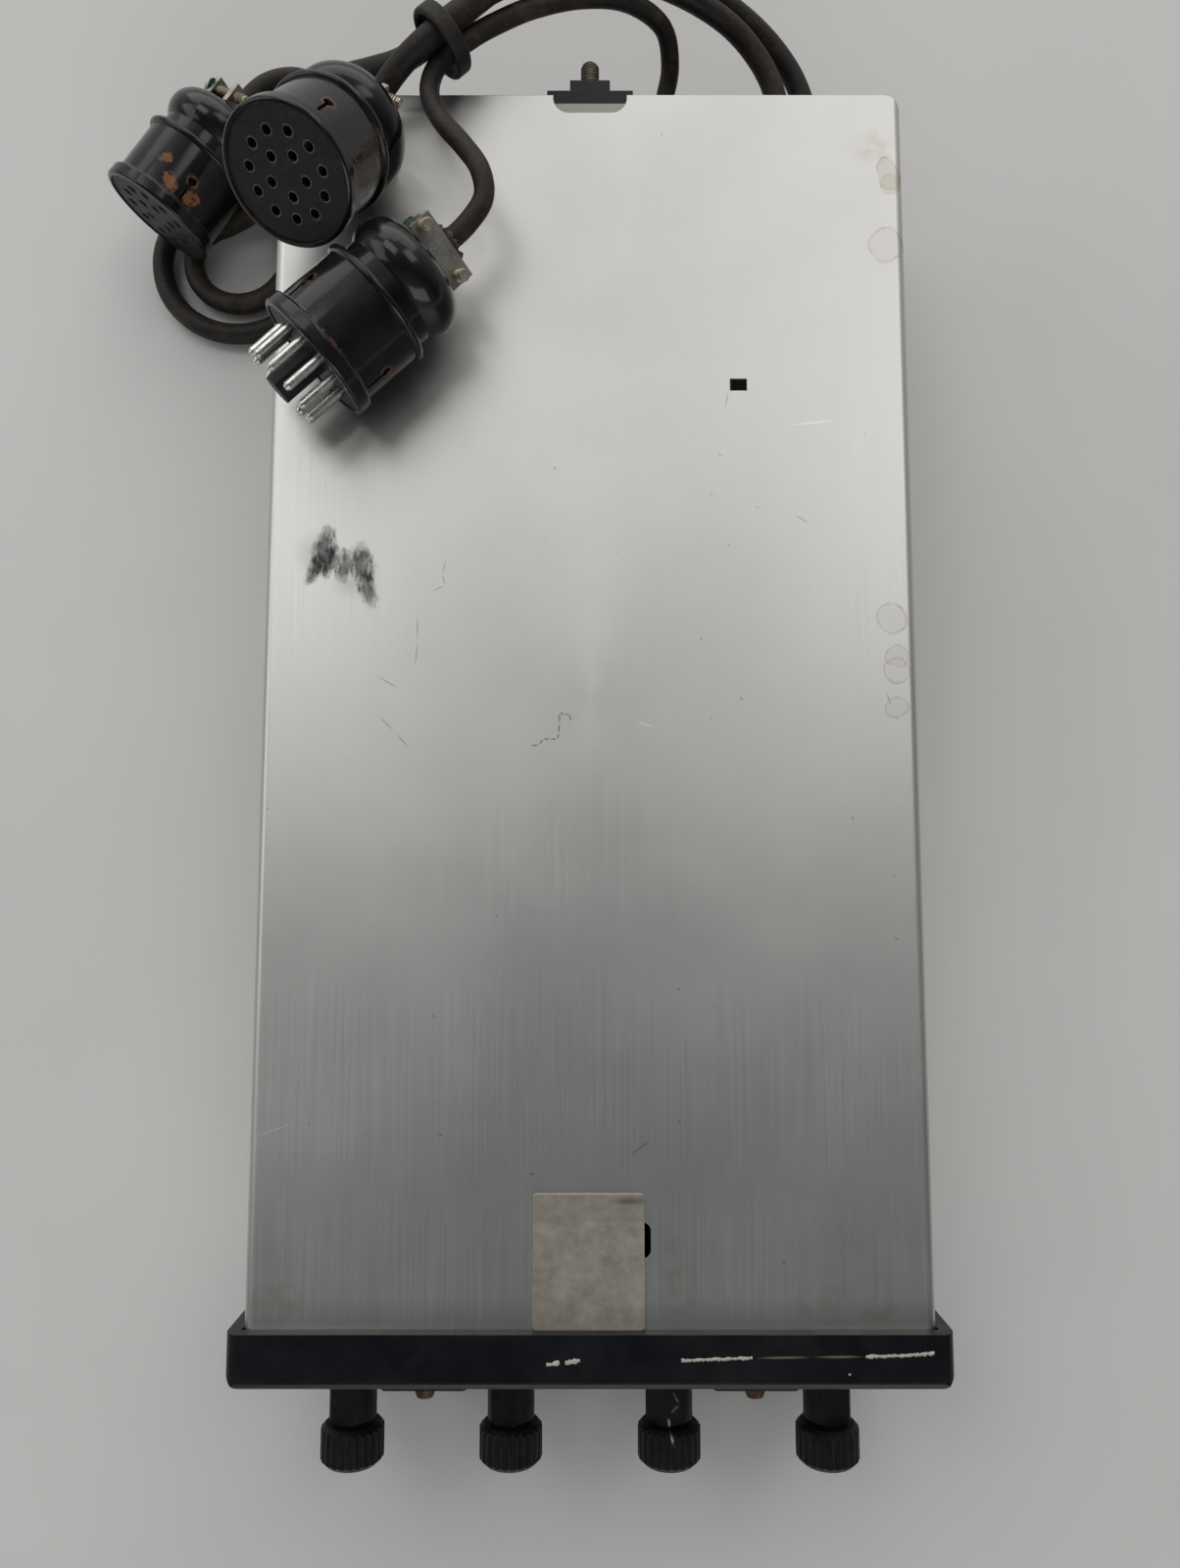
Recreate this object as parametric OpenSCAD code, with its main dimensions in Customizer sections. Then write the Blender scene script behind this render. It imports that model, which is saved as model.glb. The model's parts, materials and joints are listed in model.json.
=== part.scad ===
// Aviation radio: slim aluminium case, black front panel, four dual-concentric knob stacks
// Three rubber cords leave the rear and end in round connectors; all sizes in millimetres
// Shown face up, front panel toward -Y, origin under the middle of the set

/* [Case] */
// Width of the case
body_w = 158.75; // [140:0.25:180]
// Height of the case
body_h = 57.15; // [54:0.05:70]
// Length from the panel face to the rear edge of the cover
rear_y = 314.3; // [280:0.1:340]
// Thickness of the cover sheet
sheet_t = 1.2; // [1:0.1:1.6]
// Outer radius of the bends along the long edges
bend_r = 2.4; // [2:0.1:3]
// Rounding of the rear corners seen from above
corner_r = 4.5; // [3:0.5:6]
// Width of the notch in the rear edge
notch_w = 18.8; // [14:0.2:24]
// Depth of the notch in the rear edge
notch_d = 4.8; // [3:0.2:6]

/* [Front panel] */
// How far the panel stands proud of the case at the top and sides
lip = 3.175; // [2.5:0.025:4]
// Depth of the panel from its face to the rear of its lip
panel_d = 12.3; // [11:0.1:14]
// Thickness of the panel face
panel_t = 2.5; // [2:0.1:3]
// Gap between the lip and the case
lip_gap = 0.15; // [0.1:0.05:0.3]

/* [Escutcheons] */
// Distance of each escutcheon from the middle of the panel
esc_x = 37.85; // [36:0.05:39]
// Width of an escutcheon
esc_w = 19.6; // [18:0.1:20]
// Height of an escutcheon
esc_h = 21; // [20:0.5:22]
// Thickness of an escutcheon
esc_t = 1.2; // [0.8:0.1:1.6]
// Width of the window
win_w = 12; // [10:0.5:13]
// Height of the window
win_h = 8; // [6:0.5:9]

/* [Knobs] */
// Distance between neighbouring knob stacks
knob_pitch = 39.2; // [38:0.1:40]
// Height of the knob axes above the base
knob_z = 31; // [30:0.5:32]
// Radius of a rear knob
rear_knob_r = 5.8; // [5.4:0.1:6.2]
// Length of a rear knob
rear_knob_l = 17.6; // [15:0.1:19]
// Radius of a front knob
front_knob_r = 7.75; // [7:0.05:8.5]
// Length of a front knob
front_knob_l = 9.4; // [8.6:0.1:11]
// Number of flutes on a front knob
flutes = 24; // [18:1:30]

/* [Shafts and gears] */
// Radius of the sleeves
sleeve_r = 3.175; // [3:0.025:3.3]
// Radius of the inner shafts
shaft_r = 1.5875; // [1.5:0.0125:1.7]
// Running clearance on the radius
run = 0.05; // [0.03:0.01:0.08]
// Teeth on a pinion
pin_teeth = 16; // [16:1:18]
// Teeth on a dial gear
dial_teeth = 48; // [44:1:48]
// Tooth size: pitch diameter divided by teeth
gear_m = 0.63; // [0.6:0.01:0.63]
// Radius of a dial disc
dial_r = 15; // [14:0.25:15.5]

/* [Connectors and cords] */
// Radius of a connector rim
rim_r = 16; // [15.6:0.05:16.4]
// Radius of the two thick cords
cord_r = 3; // [2.8:0.05:3]
// Radius of the thin cord
thin_r = 2.5; // [2.3:0.05:2.6]
// Radius of the circle of contacts
contact_ring = 9.5; // [9:0.1:9.8]
// Radius of a contact hole
hole_r = 1.5; // [1.3:0.05:1.6]
// Radius of a pin
pin_r = 1.15; // [1:0.05:1.25]

/* [Rear stud] */
// Radius of the mounting stud
stud_r = 2.08; // [1.9:0.02:2.3]
// How far the stud reaches behind the cover
stud_out = 13.7; // [12:0.1:16]

/* [Hidden] */
$fn = 48;

// Gaps beside the knobs, total reach of a stack and the shift that centres the set
panel_gap = 0.6;
seam = 0.4;
reach = panel_gap + rear_knob_l + seam + front_knob_l;
panel_y = -(rear_y + stud_out - reach) / 2;
panel_h = body_h + lip;
panel_w = body_w + 2 * lip;

// Inner faces of the case
in_x = body_w / 2 - sheet_t;
in_z = body_h - sheet_t;
flange_x = in_x - sheet_t;

// Layers behind the panel face
plate_y0 = panel_d - 2.3;
plate_y1 = plate_y0 + 2;
disc_y = panel_t + 1.1;
gear_y = disc_y + 2.4;
unit_l = 18;
chassis_z = 10;
deck_z = chassis_z + sheet_t;
back_y = rear_y - 2.1;
back_t = 1.5;

// Stacks, counted from the left, and the two dials driven from the inner stacks at a mesh angle
xs = [-1.5 * knob_pitch, -0.5 * knob_pitch, 0.5 * knob_pitch, 1.5 * knob_pitch];
knob_turn = [20, 13, 48, -20];
gear_c = gear_m * (pin_teeth + dial_teeth) / 2;
mesh_a = 13.53620;
dial_x = knob_pitch / 2 + gear_c * cos(mesh_a);
dial_z = knob_z + gear_c * sin(mesh_a);
dial_shaft_r = 3;

// Escutcheons and their windows
win_z = dial_z + dial_r * 0.7;
esc_over = 6.6;
esc_top = win_z + win_h / 2 + esc_over;
esc_mid = esc_top - esc_h / 2;
esc_screw_z = [esc_top - 3, esc_top - esc_h + 2.4];

// Rear stud
stud_z = body_h - 7;
bracket_t = 2.8;
nut_t = 3.3;
stud_step = 0.4;
stud_hole_r = stud_r + stud_step + 0.05;
free_y = back_y + back_t + bracket_t + nut_t + 0.3;

// Gang and crystal switch, behind the control units
gang_y0 = plate_y1 + unit_l + 6;
gang_y1 = gang_y0 + 36;
gang_w = 36;
gang_over = 14;
plate_n = 5;
plate_pitch = 6;
rotor_r = 13;
stator_r = 17;
wafer_w = 30;
wafer_h = 28;
wafer_t = 1.6;
contact_r = 7;
wafer_y = [gang_y0 + 6, gang_y0 + 20];

// Small parts on the deck: x and distance behind the panel face
tube_at = [[-52, 128], [-18, 128], [18, 128], [52, 128], [-52, 182], [52, 182]];
can_at = [[-22, 166], [0, 184], [22, 166]];
crystal_at = [[20, 92], [31, 92], [42, 92], [53, 92], [20, 104], [31, 104], [42, 104], [53, 104]];
side_screw_y = [60, 160, 260];
can_w = 16;
can_h = 36;
core_x = -44;
core_y = 248;
core_w = 40;
core_t = 32;
core_h = 34;
winding_w = 28;
winding_l = 48;

// Shift of free points when the case size changes: the sides, the rear and the top carry them
function sgn(v) = v < 0 ? -1 : 1;
function move_x(x) = x + sgn(x) * (body_w - 158.75) / 2 * min(1, abs(x) / 25);
function move_z(z) = z + (body_h - 57.15) * min(1, max(0, (z - 30) / 28));
function adapt(p) = [move_x(p[0]), p[1] + panel_y + rear_y - 164.3, move_z(p[2])];

// Connectors: face centre, tilt from upright, heading, turn about the axis, turn of the clamp
front_at = [adapt([-68.3, 121.3, 88.2]), 124, 67, 180, 90];
side_at = [adapt([-123.2, 153, 22.6]), 90, 55.4, 180, 70];
plug_at = [adapt([-65, 85.6, 73.25]), 90, 43, 180, 35];
CONNECTORS = [front_at, side_at, plug_at];
clamp_at = 36;
clamp_l = 6;
ear_in = 3;
ear_t = 1.6;
ear_w = 16.8;
clamp_screw_y = 6.6;
clamp_screw_r = 1.25;
screw_tail = 9.2;

// Inserts: face behind the rim, flange in the rim, body in the shell; pins stand on a thinner root
face_z = 0.4;
flange_t = 1.5;
flange_r = rim_r - 1.35;
insert_r = rim_r - 3.05;
pin_root_r = pin_r - 0.35;
pin_out = 10.2;

// Keyhole slots in the connector shells
slot_w = 0.8;
slot_y = 4.4;
slot_l = 6.2;
slot_end_r = 1.15;

// Cord routes from the rear panel to the clamps
PLUG_ROUTE = [[19.5, 158, 32], [19.5, 171, 32], [20.5, 180, 33], [22, 187.5, 37.5], [19.5, 193, 45],
  [10, 193.5, 53], [-2, 190, 58.5], [-14, 184, 62.5], [-24, 177.4, 64.8], [-30.8, 172.5, 65.4],
  [-37.5, 166.5, 65.4], [-39.6, 158, 66.6], [-36.4, 149, 69], [-30.6, 140, 72.5], [-26.2, 132.5, 74.4],
  [-25.2, 125.5, 74.2], [-28.9, 119.4, 73.6], [-34.3, 114.2, 73.25], [-38.7, 110.2, 73.25]];
FRONT_ROUTE = [[52.5, 158, 34], [52.5, 170, 34], [51.5, 180, 34.5], [47, 189, 37], [38.5, 196, 41.5],
  [27, 199.5, 47], [14, 200, 53], [1, 197.5, 59], [-11.5, 192, 64.8], [-23, 183.6, 69.3],
  [-33, 174.9, 70.7], [-39.7, 169, 70.7], [-45.8, 164.6, 68.4], [-50.5, 161.1, 65.2],
  [-53.3, 157.4, 63.4], [-54.7, 153.4, 64.7], [-56.6, 148.8, 68.1]];
SIDE_START = [[62.5, 158, 26], [62.5, 170, 26], [61.5, 181, 26.5], [57, 191.5, 29], [48.5, 200, 33],
  [37, 205.5, 38.5], [24, 207.5, 45], [10, 206.5, 51.5], [-4, 203, 57], [-17, 195.5, 61.5],
  [-27.5, 185, 64.2], [-34.9, 177.2, 65], [-41.6, 171.3, 64.8], [-48, 168.9, 62.8], [-55.5, 169.8, 58.9],
  [-64, 173.5, 51.5], [-73, 176.3, 41.5], [-81, 175.5, 31], [-88, 170.3, 20], [-95, 165.6, 11.4],
  [-102.6, 163.6, 7]];
SIDE_END = [[-83.2, 152, 3.4], [-83.4, 162, 4.6], [-79.5, 172, 7], [-74.5, 180, 10.5],
  [-72.5, 187.5, 14.5], [-76.5, 193.7, 18.5], [-84.5, 196.3, 21.5], [-93, 193.8, 22.6],
  [-99.4, 187.6, 22.6], [-102.8, 182.6, 22.6]];

// Flat coil of the side cord on the table: middle, first radius, step per turn, start and total turn
coil_mid = [-107, 152.5];
coil_first = 10.3;
coil_step = 9.5;
coil_from = 110;
coil_turn = 585;
coil_z = 3.2;
coil_n = 30;
function coil_r(a) = coil_first + coil_step * a / 360;
function coil_at(a) = [coil_mid[0] + coil_r(a) * cos(coil_from + a),
  coil_mid[1] + coil_r(a) * sin(coil_from + a), coil_z];
SIDE_ROUTE = concat(SIDE_START, [for (k = [0 : coil_n]) coil_at(coil_turn * k / coil_n)], SIDE_END);

// Least gap of a route to itself, measured between points more than far apart along it
function finer(p, n) = [for (i = [0 : len(p) - 2]) for (k = [0 : n - 1]) p[i] + (p[i + 1] - p[i]) * k / n];
function self_gap(p, r, far) = min([for (i = [0 : len(p) - 1]) for (j = [i + far : len(p) - 1])
  norm(p[i] - p[j])]) - 2 * r;
ring_at = adapt([-36.5, 171.4, 67]);
ring_heading = 41.5;
ring_in = 7.1;
ring_t = 1.7;
ring_h = 4.4;
exits = [[adapt(PLUG_ROUTE[0]), thin_r], [adapt(FRONT_ROUTE[0]), cord_r], [adapt(SIDE_ROUTE[0]), cord_r]];

// Helpers: solids along Y measured from the panel face, blocks and rounded outlines
module along_y(y0, y1) {
  translate([0, panel_y + y1, 0]) rotate([90, 0, 0]) linear_extrude(y1 - y0) children();
}
module rod(x, z, y0, y1, r) {
  translate([x, panel_y + y1, z]) rotate([90, 0, 0]) cylinder(r = r, h = y1 - y0);
}
module block(x0, x1, y0, y1, z0, z1) {
  translate([x0, panel_y + y0, z0]) cube([x1 - x0, y1 - y0, z1 - z0]);
}
module round_top(w, h, r) {
  translate([-w / 2, 0]) square([w, h - r]);
  translate([r - w / 2, 0]) square([w - 2 * r, h]);
  for (s = [-1, 1]) translate([s * (w / 2 - r), h - r]) circle(r);
}
module round_rect(w, h, r) {
  translate([-w / 2, r - h / 2]) square([w, h - 2 * r]);
  translate([r - w / 2, -h / 2]) square([w - 2 * r, h]);
  for (sx = [-1, 1]) for (sy = [-1, 1]) translate([sx * (w / 2 - r), sy * (h / 2 - r)]) circle(r);
}
// Outline of a cover from above, rear corners rounded
module plan(w, y0, y1, r) {
  translate([0, panel_y]) {
    translate([-w / 2, y0]) square([w, y1 - y0 - r]);
    translate([r - w / 2, y0]) square([w - 2 * r, y1 - y0]);
    for (s = [-1, 1]) translate([s * (w / 2 - r), y1 - r]) circle(r);
  }
}

// Gear outline with involute flanks
function inv_deg(a) = tan(a) * 180 / PI - a;
function half_deg(r, rb, n) = 90 / n - 3.2 / (n * gear_m) + inv_deg(20) - inv_deg(acos(min(1, rb / r)));
function tooth_radii(n) = let (p = gear_m * n / 2, b = p * cos(20), f = p - 1.2 * gear_m)
  [f, max(b, f + 0.05), p - 0.2 * gear_m, p + 0.35 * gear_m, p + 0.9 * gear_m];
function polar(r, a) = [r * cos(a), r * sin(a)];
function gear_points(n) = let (b = gear_m * n / 2 * cos(20), rr = tooth_radii(n))
  [for (i = [0 : n - 1]) each concat(
    [for (k = [0 : 4]) polar(rr[k], i * 360 / n - half_deg(max(rr[k], b), b, n))],
    [for (k = [4 : -1 : 0]) polar(rr[k], i * 360 / n + half_deg(max(rr[k], b), b, n))])];
module gear(n) { polygon(gear_points(n)); }

// A tube swept through the points of a route
function unit(v) = v / norm(v);
function way(p, i) = unit(p[min(i + 1, len(p) - 1)] - p[max(i - 1, 0)]);
function ring_pts(p, i, r, n) = let (t = way(p, i), u = unit(cross(t, [0, 0, 1])), v = cross(t, u))
  [for (j = [0 : n - 1]) p[i] + r * (cos(360 * j / n) * u + sin(360 * j / n) * v)];
module tube(route, r, n = 10) {
  p = [for (q = route) adapt(q)];
  m = len(p);
  polyhedron(points = [for (i = [0 : m - 1]) each ring_pts(p, i, r, n)],
    faces = concat([[for (j = [0 : n - 1]) j]], [[for (j = [n - 1 : -1 : 0]) (m - 1) * n + j]],
      [for (i = [0 : m - 2]) for (j = [0 : n - 1]) [i * n + j, (i + 1) * n + j, (i + 1) * n + (j + 1) % n]],
      [for (i = [0 : m - 2]) for (j = [0 : n - 1])
        [i * n + j, (i + 1) * n + (j + 1) % n, i * n + (j + 1) % n]]));
}

// Front panel: pan with a lip on three sides, rounded front edges, bosses to the control plate
module front_panel() {
  color([0.06, 0.07, 0.09]) difference() {
    union() {
      difference() {
        intersection() {
          along_y(0, panel_d) round_top(panel_w, panel_h, 3);
          translate([0, 0, -1]) linear_extrude(panel_h + 2)
            mirror([0, 1]) translate([0, -2 * panel_y - panel_d]) plan(panel_w, 0, panel_d, 4.5);
          translate([-panel_w / 2, panel_y, 0]) rotate([90, 0, 90]) linear_extrude(panel_w) {
            translate([2, 0]) square([panel_d - 2, panel_h]);
            translate([0, 0]) square([panel_d, panel_h - 2]);
            translate([2, panel_h - 2]) circle(2);
          }
        }
        block(-body_w / 2 - lip_gap, body_w / 2 + lip_gap, panel_t, panel_d + 1, -1, body_h + lip_gap);
      }
      for (s = [-1, 1]) for (z = [9, body_h - 9]) rod(s * (body_w / 2 - 7), z, panel_t - 0.5, plate_y0, 3);
    }
    for (x = xs) rod(x, knob_z, -1, panel_t + 1, sleeve_r + 1);
    for (s = [-1, 1]) {
      translate([s * esc_x, 0, win_z]) along_y(-1, panel_t + 1) round_rect(win_w + 3, win_h + 3, 1.5);
      for (z = esc_screw_z) rod(s * esc_x, z, -1, panel_t + 1, 1.45);
    }
  }
}

// Top cover: bent sheet with a rear notch, an access slot and a small punched hole
module top_cover() {
  color([0.78, 0.77, 0.74]) difference() {
    intersection() {
      along_y(panel_t, rear_y) difference() {
        round_top(body_w, body_h, bend_r);
        round_top(2 * in_x, in_z, bend_r - sheet_t);
      }
      translate([0, 0, sheet_t]) linear_extrude(body_h) plan(body_w, 0, rear_y, corner_r);
    }
    translate([0, panel_y + rear_y, in_z - 2]) linear_extrude(6) {
      translate([-notch_w / 2, 4 - notch_d]) square([notch_w, notch_d]);
      translate([4 - notch_w / 2, -notch_d]) square([notch_w - 8, notch_d + 1]);
      for (s = [-1, 1]) translate([s * (notch_w / 2 - 4), 4 - notch_d]) circle(4);
    }
    translate([2, panel_y + 31.9, in_z - 2]) linear_extrude(6) round_rect(24, 8.2, 2);
    block(34.8, 39, 235.6, 238.7, in_z - 2, body_h + 1);
    for (y = side_screw_y) translate([0, panel_y + y, 8]) rotate([0, 90, 0])
      cylinder(r = 1.55, h = body_w + 2, center = true);
  }
}

// Bottom cover: flat sheet with a flange inside each side
module bottom_cover() {
  color([0.74, 0.73, 0.71]) difference() {
    union() {
      linear_extrude(sheet_t) plan(body_w, panel_t, rear_y, corner_r);
      for (s = [-1, 1]) block(s > 0 ? flange_x : -in_x, s > 0 ? in_x : -flange_x,
        plate_y1 + 2, back_y - 2, sheet_t - 0.2, 14);
    }
    for (y = side_screw_y) translate([0, panel_y + y, 8]) rotate([0, 90, 0])
      cylinder(r = 1.55, h = body_w + 2, center = true);
  }
}

// Chassis: deck with side and rear flanges that stand on the bottom cover
module chassis() {
  color([0.7, 0.71, 0.72]) difference() {
    union() {
      block(-flange_x, flange_x, plate_y1, back_y, chassis_z, deck_z);
      for (s = [-1, 1]) block(s > 0 ? flange_x - sheet_t : -flange_x, s > 0 ? flange_x : sheet_t - flange_x,
        plate_y1, back_y, sheet_t, deck_z);
      block(-flange_x, flange_x, back_y - sheet_t, back_y, sheet_t, deck_z);
    }
    for (y = side_screw_y) translate([0, panel_y + y, 8]) rotate([0, 90, 0])
      cylinder(r = 1.55, h = body_w + 2, center = true);
    for (s = [-1, 1]) rod(s * 66, 6, back_y - 4, back_y + 1, 1.55);
  }
}

// Control plate: carries the stacks and both dial shafts
module control_plate() {
  color([0.66, 0.67, 0.68]) difference() {
    block(-flange_x, flange_x, plate_y0, plate_y1, sheet_t, in_z - 0.6);
    for (x = xs) rod(x, knob_z, plate_y0 - 1, plate_y1 + 1, 4.75 + run);
    for (s = [-1, 1]) rod(s * dial_x, dial_z, plate_y0 - 1, plate_y1 + 1, dial_shaft_r + run);
  }
}

// Rear panel with three cord holes and the hole for the stud
module rear_panel() {
  color([0.2, 0.2, 0.21]) difference() {
    block(-flange_x + 0.3, flange_x - 0.3, back_y, back_y + back_t, sheet_t, body_h - 3.7);
    for (e = exits) translate([e[0][0], panel_y + back_y - 1, e[0][2]]) rotate([-90, 0, 0])
      cylinder(r = 5, h = 4);
    rod(0, stud_z, back_y - 1, rear_y, stud_hole_r);
    for (s = [-1, 1]) rod(s * 66, 6, back_y - 1, rear_y, 1.55);
  }
}

// Stud bracket: angle over the top edge of the rear panel, seen in the notch
module stud_bracket() {
  y1 = back_y + back_t;
  color([0.05, 0.05, 0.06]) difference() {
    union() {
      block(-11, 11, rear_y - 8, y1 + bracket_t, body_h - 3.7, in_z - 0.05);
      block(-11, 11, y1, y1 + bracket_t, stud_z - 9, in_z - 0.05);
    }
    rod(0, stud_z, y1 - 1, y1 + bracket_t + 1, stud_hole_r);
  }
}

// Mounting stud with a head inside the rear panel
module mounting_stud() {
  color([0.12, 0.11, 0.1]) {
    rod(0, stud_z, back_y - 3, rear_y + stud_out - 0.6, stud_r);
    rod(0, stud_z, back_y - 3, free_y, stud_r + stud_step);
    translate([0, panel_y + rear_y + stud_out - 0.6, stud_z]) rotate([-90, 0, 0])
      cylinder(r1 = stud_r, r2 = stud_r - 0.6, h = 0.6);
    rod(0, stud_z, back_y - 3, back_y, 3.1);
  }
}

// Square nut that holds the stud to its bracket
module stud_nut() {
  y0 = back_y + back_t + bracket_t;
  color([0.07, 0.07, 0.08]) difference() {
    block(-5.15, 5.15, y0, y0 + nut_t, stud_z - 5.15, stud_z + 5.15);
    rod(0, stud_z, y0 - 1, y0 + nut_t + 1, stud_hole_r);
  }
}

// Thin blank plate over the access slot
module access_plate() {
  color([0.8, 0.78, 0.73]) translate([-0.3, panel_y + (panel_d + 42.4) / 2, body_h])
    linear_extrude(0.5) round_rect(25.6, 42.4 - panel_d, 0.8);
}

// Round-head screws: three on each side of the cover and two in the rear panel
module side_screw(y, s) {
  translate([s * body_w / 2, panel_y + y, 8]) rotate([0, s * 90, 0]) {
    translate([0, 0, -5]) cylinder(r = 1.45, h = 6);
    cylinder(r1 = 2.7, r2 = 1.9, h = 1.6);
  }
}
module cover_screws() {
  color([0.55, 0.54, 0.52]) {
    for (y = side_screw_y) for (s = [-1, 1]) side_screw(y, s);
    for (s = [-1, 1]) {
      rod(s * 66, 6, back_y - 4, back_y + back_t + 0.5, 1.45);
      translate([s * 66, panel_y + back_y + back_t, 6]) rotate([-90, 0, 0])
        cylinder(r1 = 2.7, r2 = 1.9, h = 1.6);
    }
  }
}

// Escutcheons: plates with a window, held by a screw above and below it
module escutcheons() {
  color([0.08, 0.08, 0.09]) for (s = [-1, 1]) difference() {
    translate([s * esc_x, 0, esc_mid]) along_y(-esc_t, 0) round_rect(esc_w, esc_h, 1.2);
    translate([s * esc_x, 0, win_z]) along_y(-esc_t - 1, 1) round_rect(win_w, win_h, 1.2);
    for (z = esc_screw_z) rod(s * esc_x, z, -esc_t - 1, 1, 1.45);
  }
}
module escutcheon_screws() {
  color([0.45, 0.27, 0.16]) for (s = [-1, 1]) for (z = esc_screw_z) difference() {
    union() {
      rod(s * esc_x, z, -esc_t - 0.5, panel_t + 0.4, 1.4);
      translate([s * esc_x, panel_y - esc_t, z]) rotate([90, 0, 0]) cylinder(r1 = 2.75, r2 = 1.9, h = 2.2);
    }
    block(s * esc_x - 3, s * esc_x + 3, -esc_t - 3, -esc_t - 1.3, z - 0.35, z + 0.35);
  }
}
// Clear windows set in the panel behind the escutcheons
module dial_windows() {
  color([0.75, 0.8, 0.8, 0.4]) for (s = [-1, 1])
    translate([s * esc_x, 0, win_z]) along_y(0.02, 1.6) round_rect(win_w + 2.9, win_h + 2.9, 1.45);
}

// Rear knob: slim barrel with two flats and a set-screw hole
module rear_knob(i) {
  translate([xs[i], panel_y - panel_gap, knob_z]) rotate([90, 0, 0])
  rotate([0, 0, knob_turn[i]]) difference() {
    intersection() {
      rotate_extrude() polygon([[0, 0], [rear_knob_r - 0.3, 0], [rear_knob_r, 0.3],
        [rear_knob_r, rear_knob_l - 0.8], [rear_knob_r - 0.8, rear_knob_l], [0, rear_knob_l]]);
      translate([-10, -4.5, -1]) cube([20, 9, rear_knob_l + 2]);
    }
    translate([0, 0, -1]) cylinder(r = sleeve_r + 0.02, h = rear_knob_l + 2);
    translate([0, 0, 5.5]) rotate([-90, 0, 0]) cylinder(r = 1.4, h = 8);
  }
}
// Front knob: fluted, chamfered at both ends, blind bore for the inner shaft
module front_knob(i) {
  y0 = panel_gap + rear_knob_l + seam;
  translate([xs[i], panel_y - y0, knob_z]) rotate([90, 0, 0]) difference() {
    rotate_extrude() polygon([[0, 0], [front_knob_r - 1.1, 0], [front_knob_r, 1.1],
      [front_knob_r, front_knob_l - 1.3], [front_knob_r - 1.3, front_knob_l], [front_knob_r - 2.2, front_knob_l],
      [front_knob_r - 2.6, front_knob_l - 0.4], [0, front_knob_l - 0.4]]);
    for (k = [0 : flutes - 1]) rotate([0, 0, (k + 0.5) * 360 / flutes])
      translate([front_knob_r + 0.35, 0, -1])
      cylinder(r = 0.8, h = front_knob_l + 2, $fn = 16);
    translate([0, 0, -1]) cylinder(r = shaft_r + 0.02, h = front_knob_l - 1.4);
  }
}
// Sleeve turned by a rear knob
module sleeve(i) {
  difference() {
    rod(xs[i], knob_z, 0.3 - panel_gap - rear_knob_l, plate_y1 + 4, sleeve_r);
    rod(xs[i], knob_z, -panel_gap - rear_knob_l - 1, plate_y1 + 5, shaft_r + run);
  }
}
// Sleeve with a pinion that meshes with a dial gear
module pinion_sleeve(i, s) {
  sleeve(i);
  translate([xs[i], 0, knob_z]) along_y(gear_y - 0.2, gear_y + 2.2)
  rotate(s > 0 ? mesh_a : 180 - mesh_a) difference() {
    gear(pin_teeth);
    circle(sleeve_r - 0.1);
  }
}
// Inner shaft turned by a front knob
module shaft(i) {
  rod(xs[i], knob_z, 2.6 - reach, plate_y1 + unit_l - 6, shaft_r);
}
module squelch_knob() { color([0.07, 0.06, 0.05]) rear_knob(0); }
module tuning_knob() { color([0.07, 0.06, 0.05]) rear_knob(1); }
module channel_knob() { color([0.07, 0.06, 0.05]) rear_knob(2); }
module dimmer_knob() { color([0.07, 0.06, 0.05]) rear_knob(3); }
module volume_knob() { color([0.09, 0.07, 0.06]) front_knob(0); }
module fine_knob() { color([0.09, 0.07, 0.06]) front_knob(1); }
module mode_knob() { color([0.09, 0.07, 0.06]) front_knob(2); }
module phones_knob() { color([0.09, 0.07, 0.06]) front_knob(3); }
module squelch_sleeve() { color([0.7, 0.62, 0.4]) sleeve(0); }
module tuning_sleeve() { color([0.7, 0.62, 0.4]) pinion_sleeve(1, -1); }
module channel_sleeve() { color([0.7, 0.62, 0.4]) pinion_sleeve(2, 1); }
module dimmer_sleeve() { color([0.7, 0.62, 0.4]) sleeve(3); }
module volume_shaft() { color([0.6, 0.6, 0.6]) shaft(0); }
module fine_shaft() { color([0.6, 0.6, 0.6]) shaft(1); }
module mode_shaft() { color([0.6, 0.6, 0.6]) shaft(2); }
module phones_shaft() { color([0.6, 0.6, 0.6]) shaft(3); }

// Control units behind the plate, with bearings for the sleeve and the inner shaft
module control_units() {
  color([0.5, 0.5, 0.48]) for (x = xs) difference() {
    union() {
      rod(x, knob_z, plate_y1, plate_y1 + unit_l, 12);
      rod(x, knob_z, plate_y0 - 1, plate_y1 + 1, 4.75);
    }
    rod(x, knob_z, plate_y0 - 2, plate_y1 + 4.3, sleeve_r + run);
    rod(x, knob_z, plate_y0 - 2, plate_y1 + unit_l - 5.7, shaft_r + run);
  }
}

// Dial disc with a hub, and its gear on the same shaft
module dial(s) {
  difference() {
    union() {
      rod(s * dial_x, dial_z, disc_y, disc_y + 0.8, dial_r);
      rod(s * dial_x, dial_z, disc_y, gear_y, 5);
    }
    rod(s * dial_x, dial_z, disc_y - 1, gear_y + 1, dial_shaft_r + 0.02);
  }
}
module dial_gear(s) {
  a = s > 0 ? 180 + mesh_a : -mesh_a;
  translate([s * dial_x, 0, dial_z]) along_y(gear_y, gear_y + 2) difference() {
    rotate(a + 180 / dial_teeth) gear(dial_teeth);
    circle(dial_shaft_r + 0.02);
    for (k = [0 : 4]) rotate(k * 72 + 18) translate([9, 0]) circle(2.6);
  }
}
module receiver_dial() { color([0.85, 0.82, 0.7]) dial(-1); }
module channel_dial() { color([0.85, 0.82, 0.7]) dial(1); }
module receiver_gear() { color([0.75, 0.6, 0.3]) dial_gear(-1); }
module channel_gear() { color([0.75, 0.6, 0.3]) dial_gear(1); }

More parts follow.
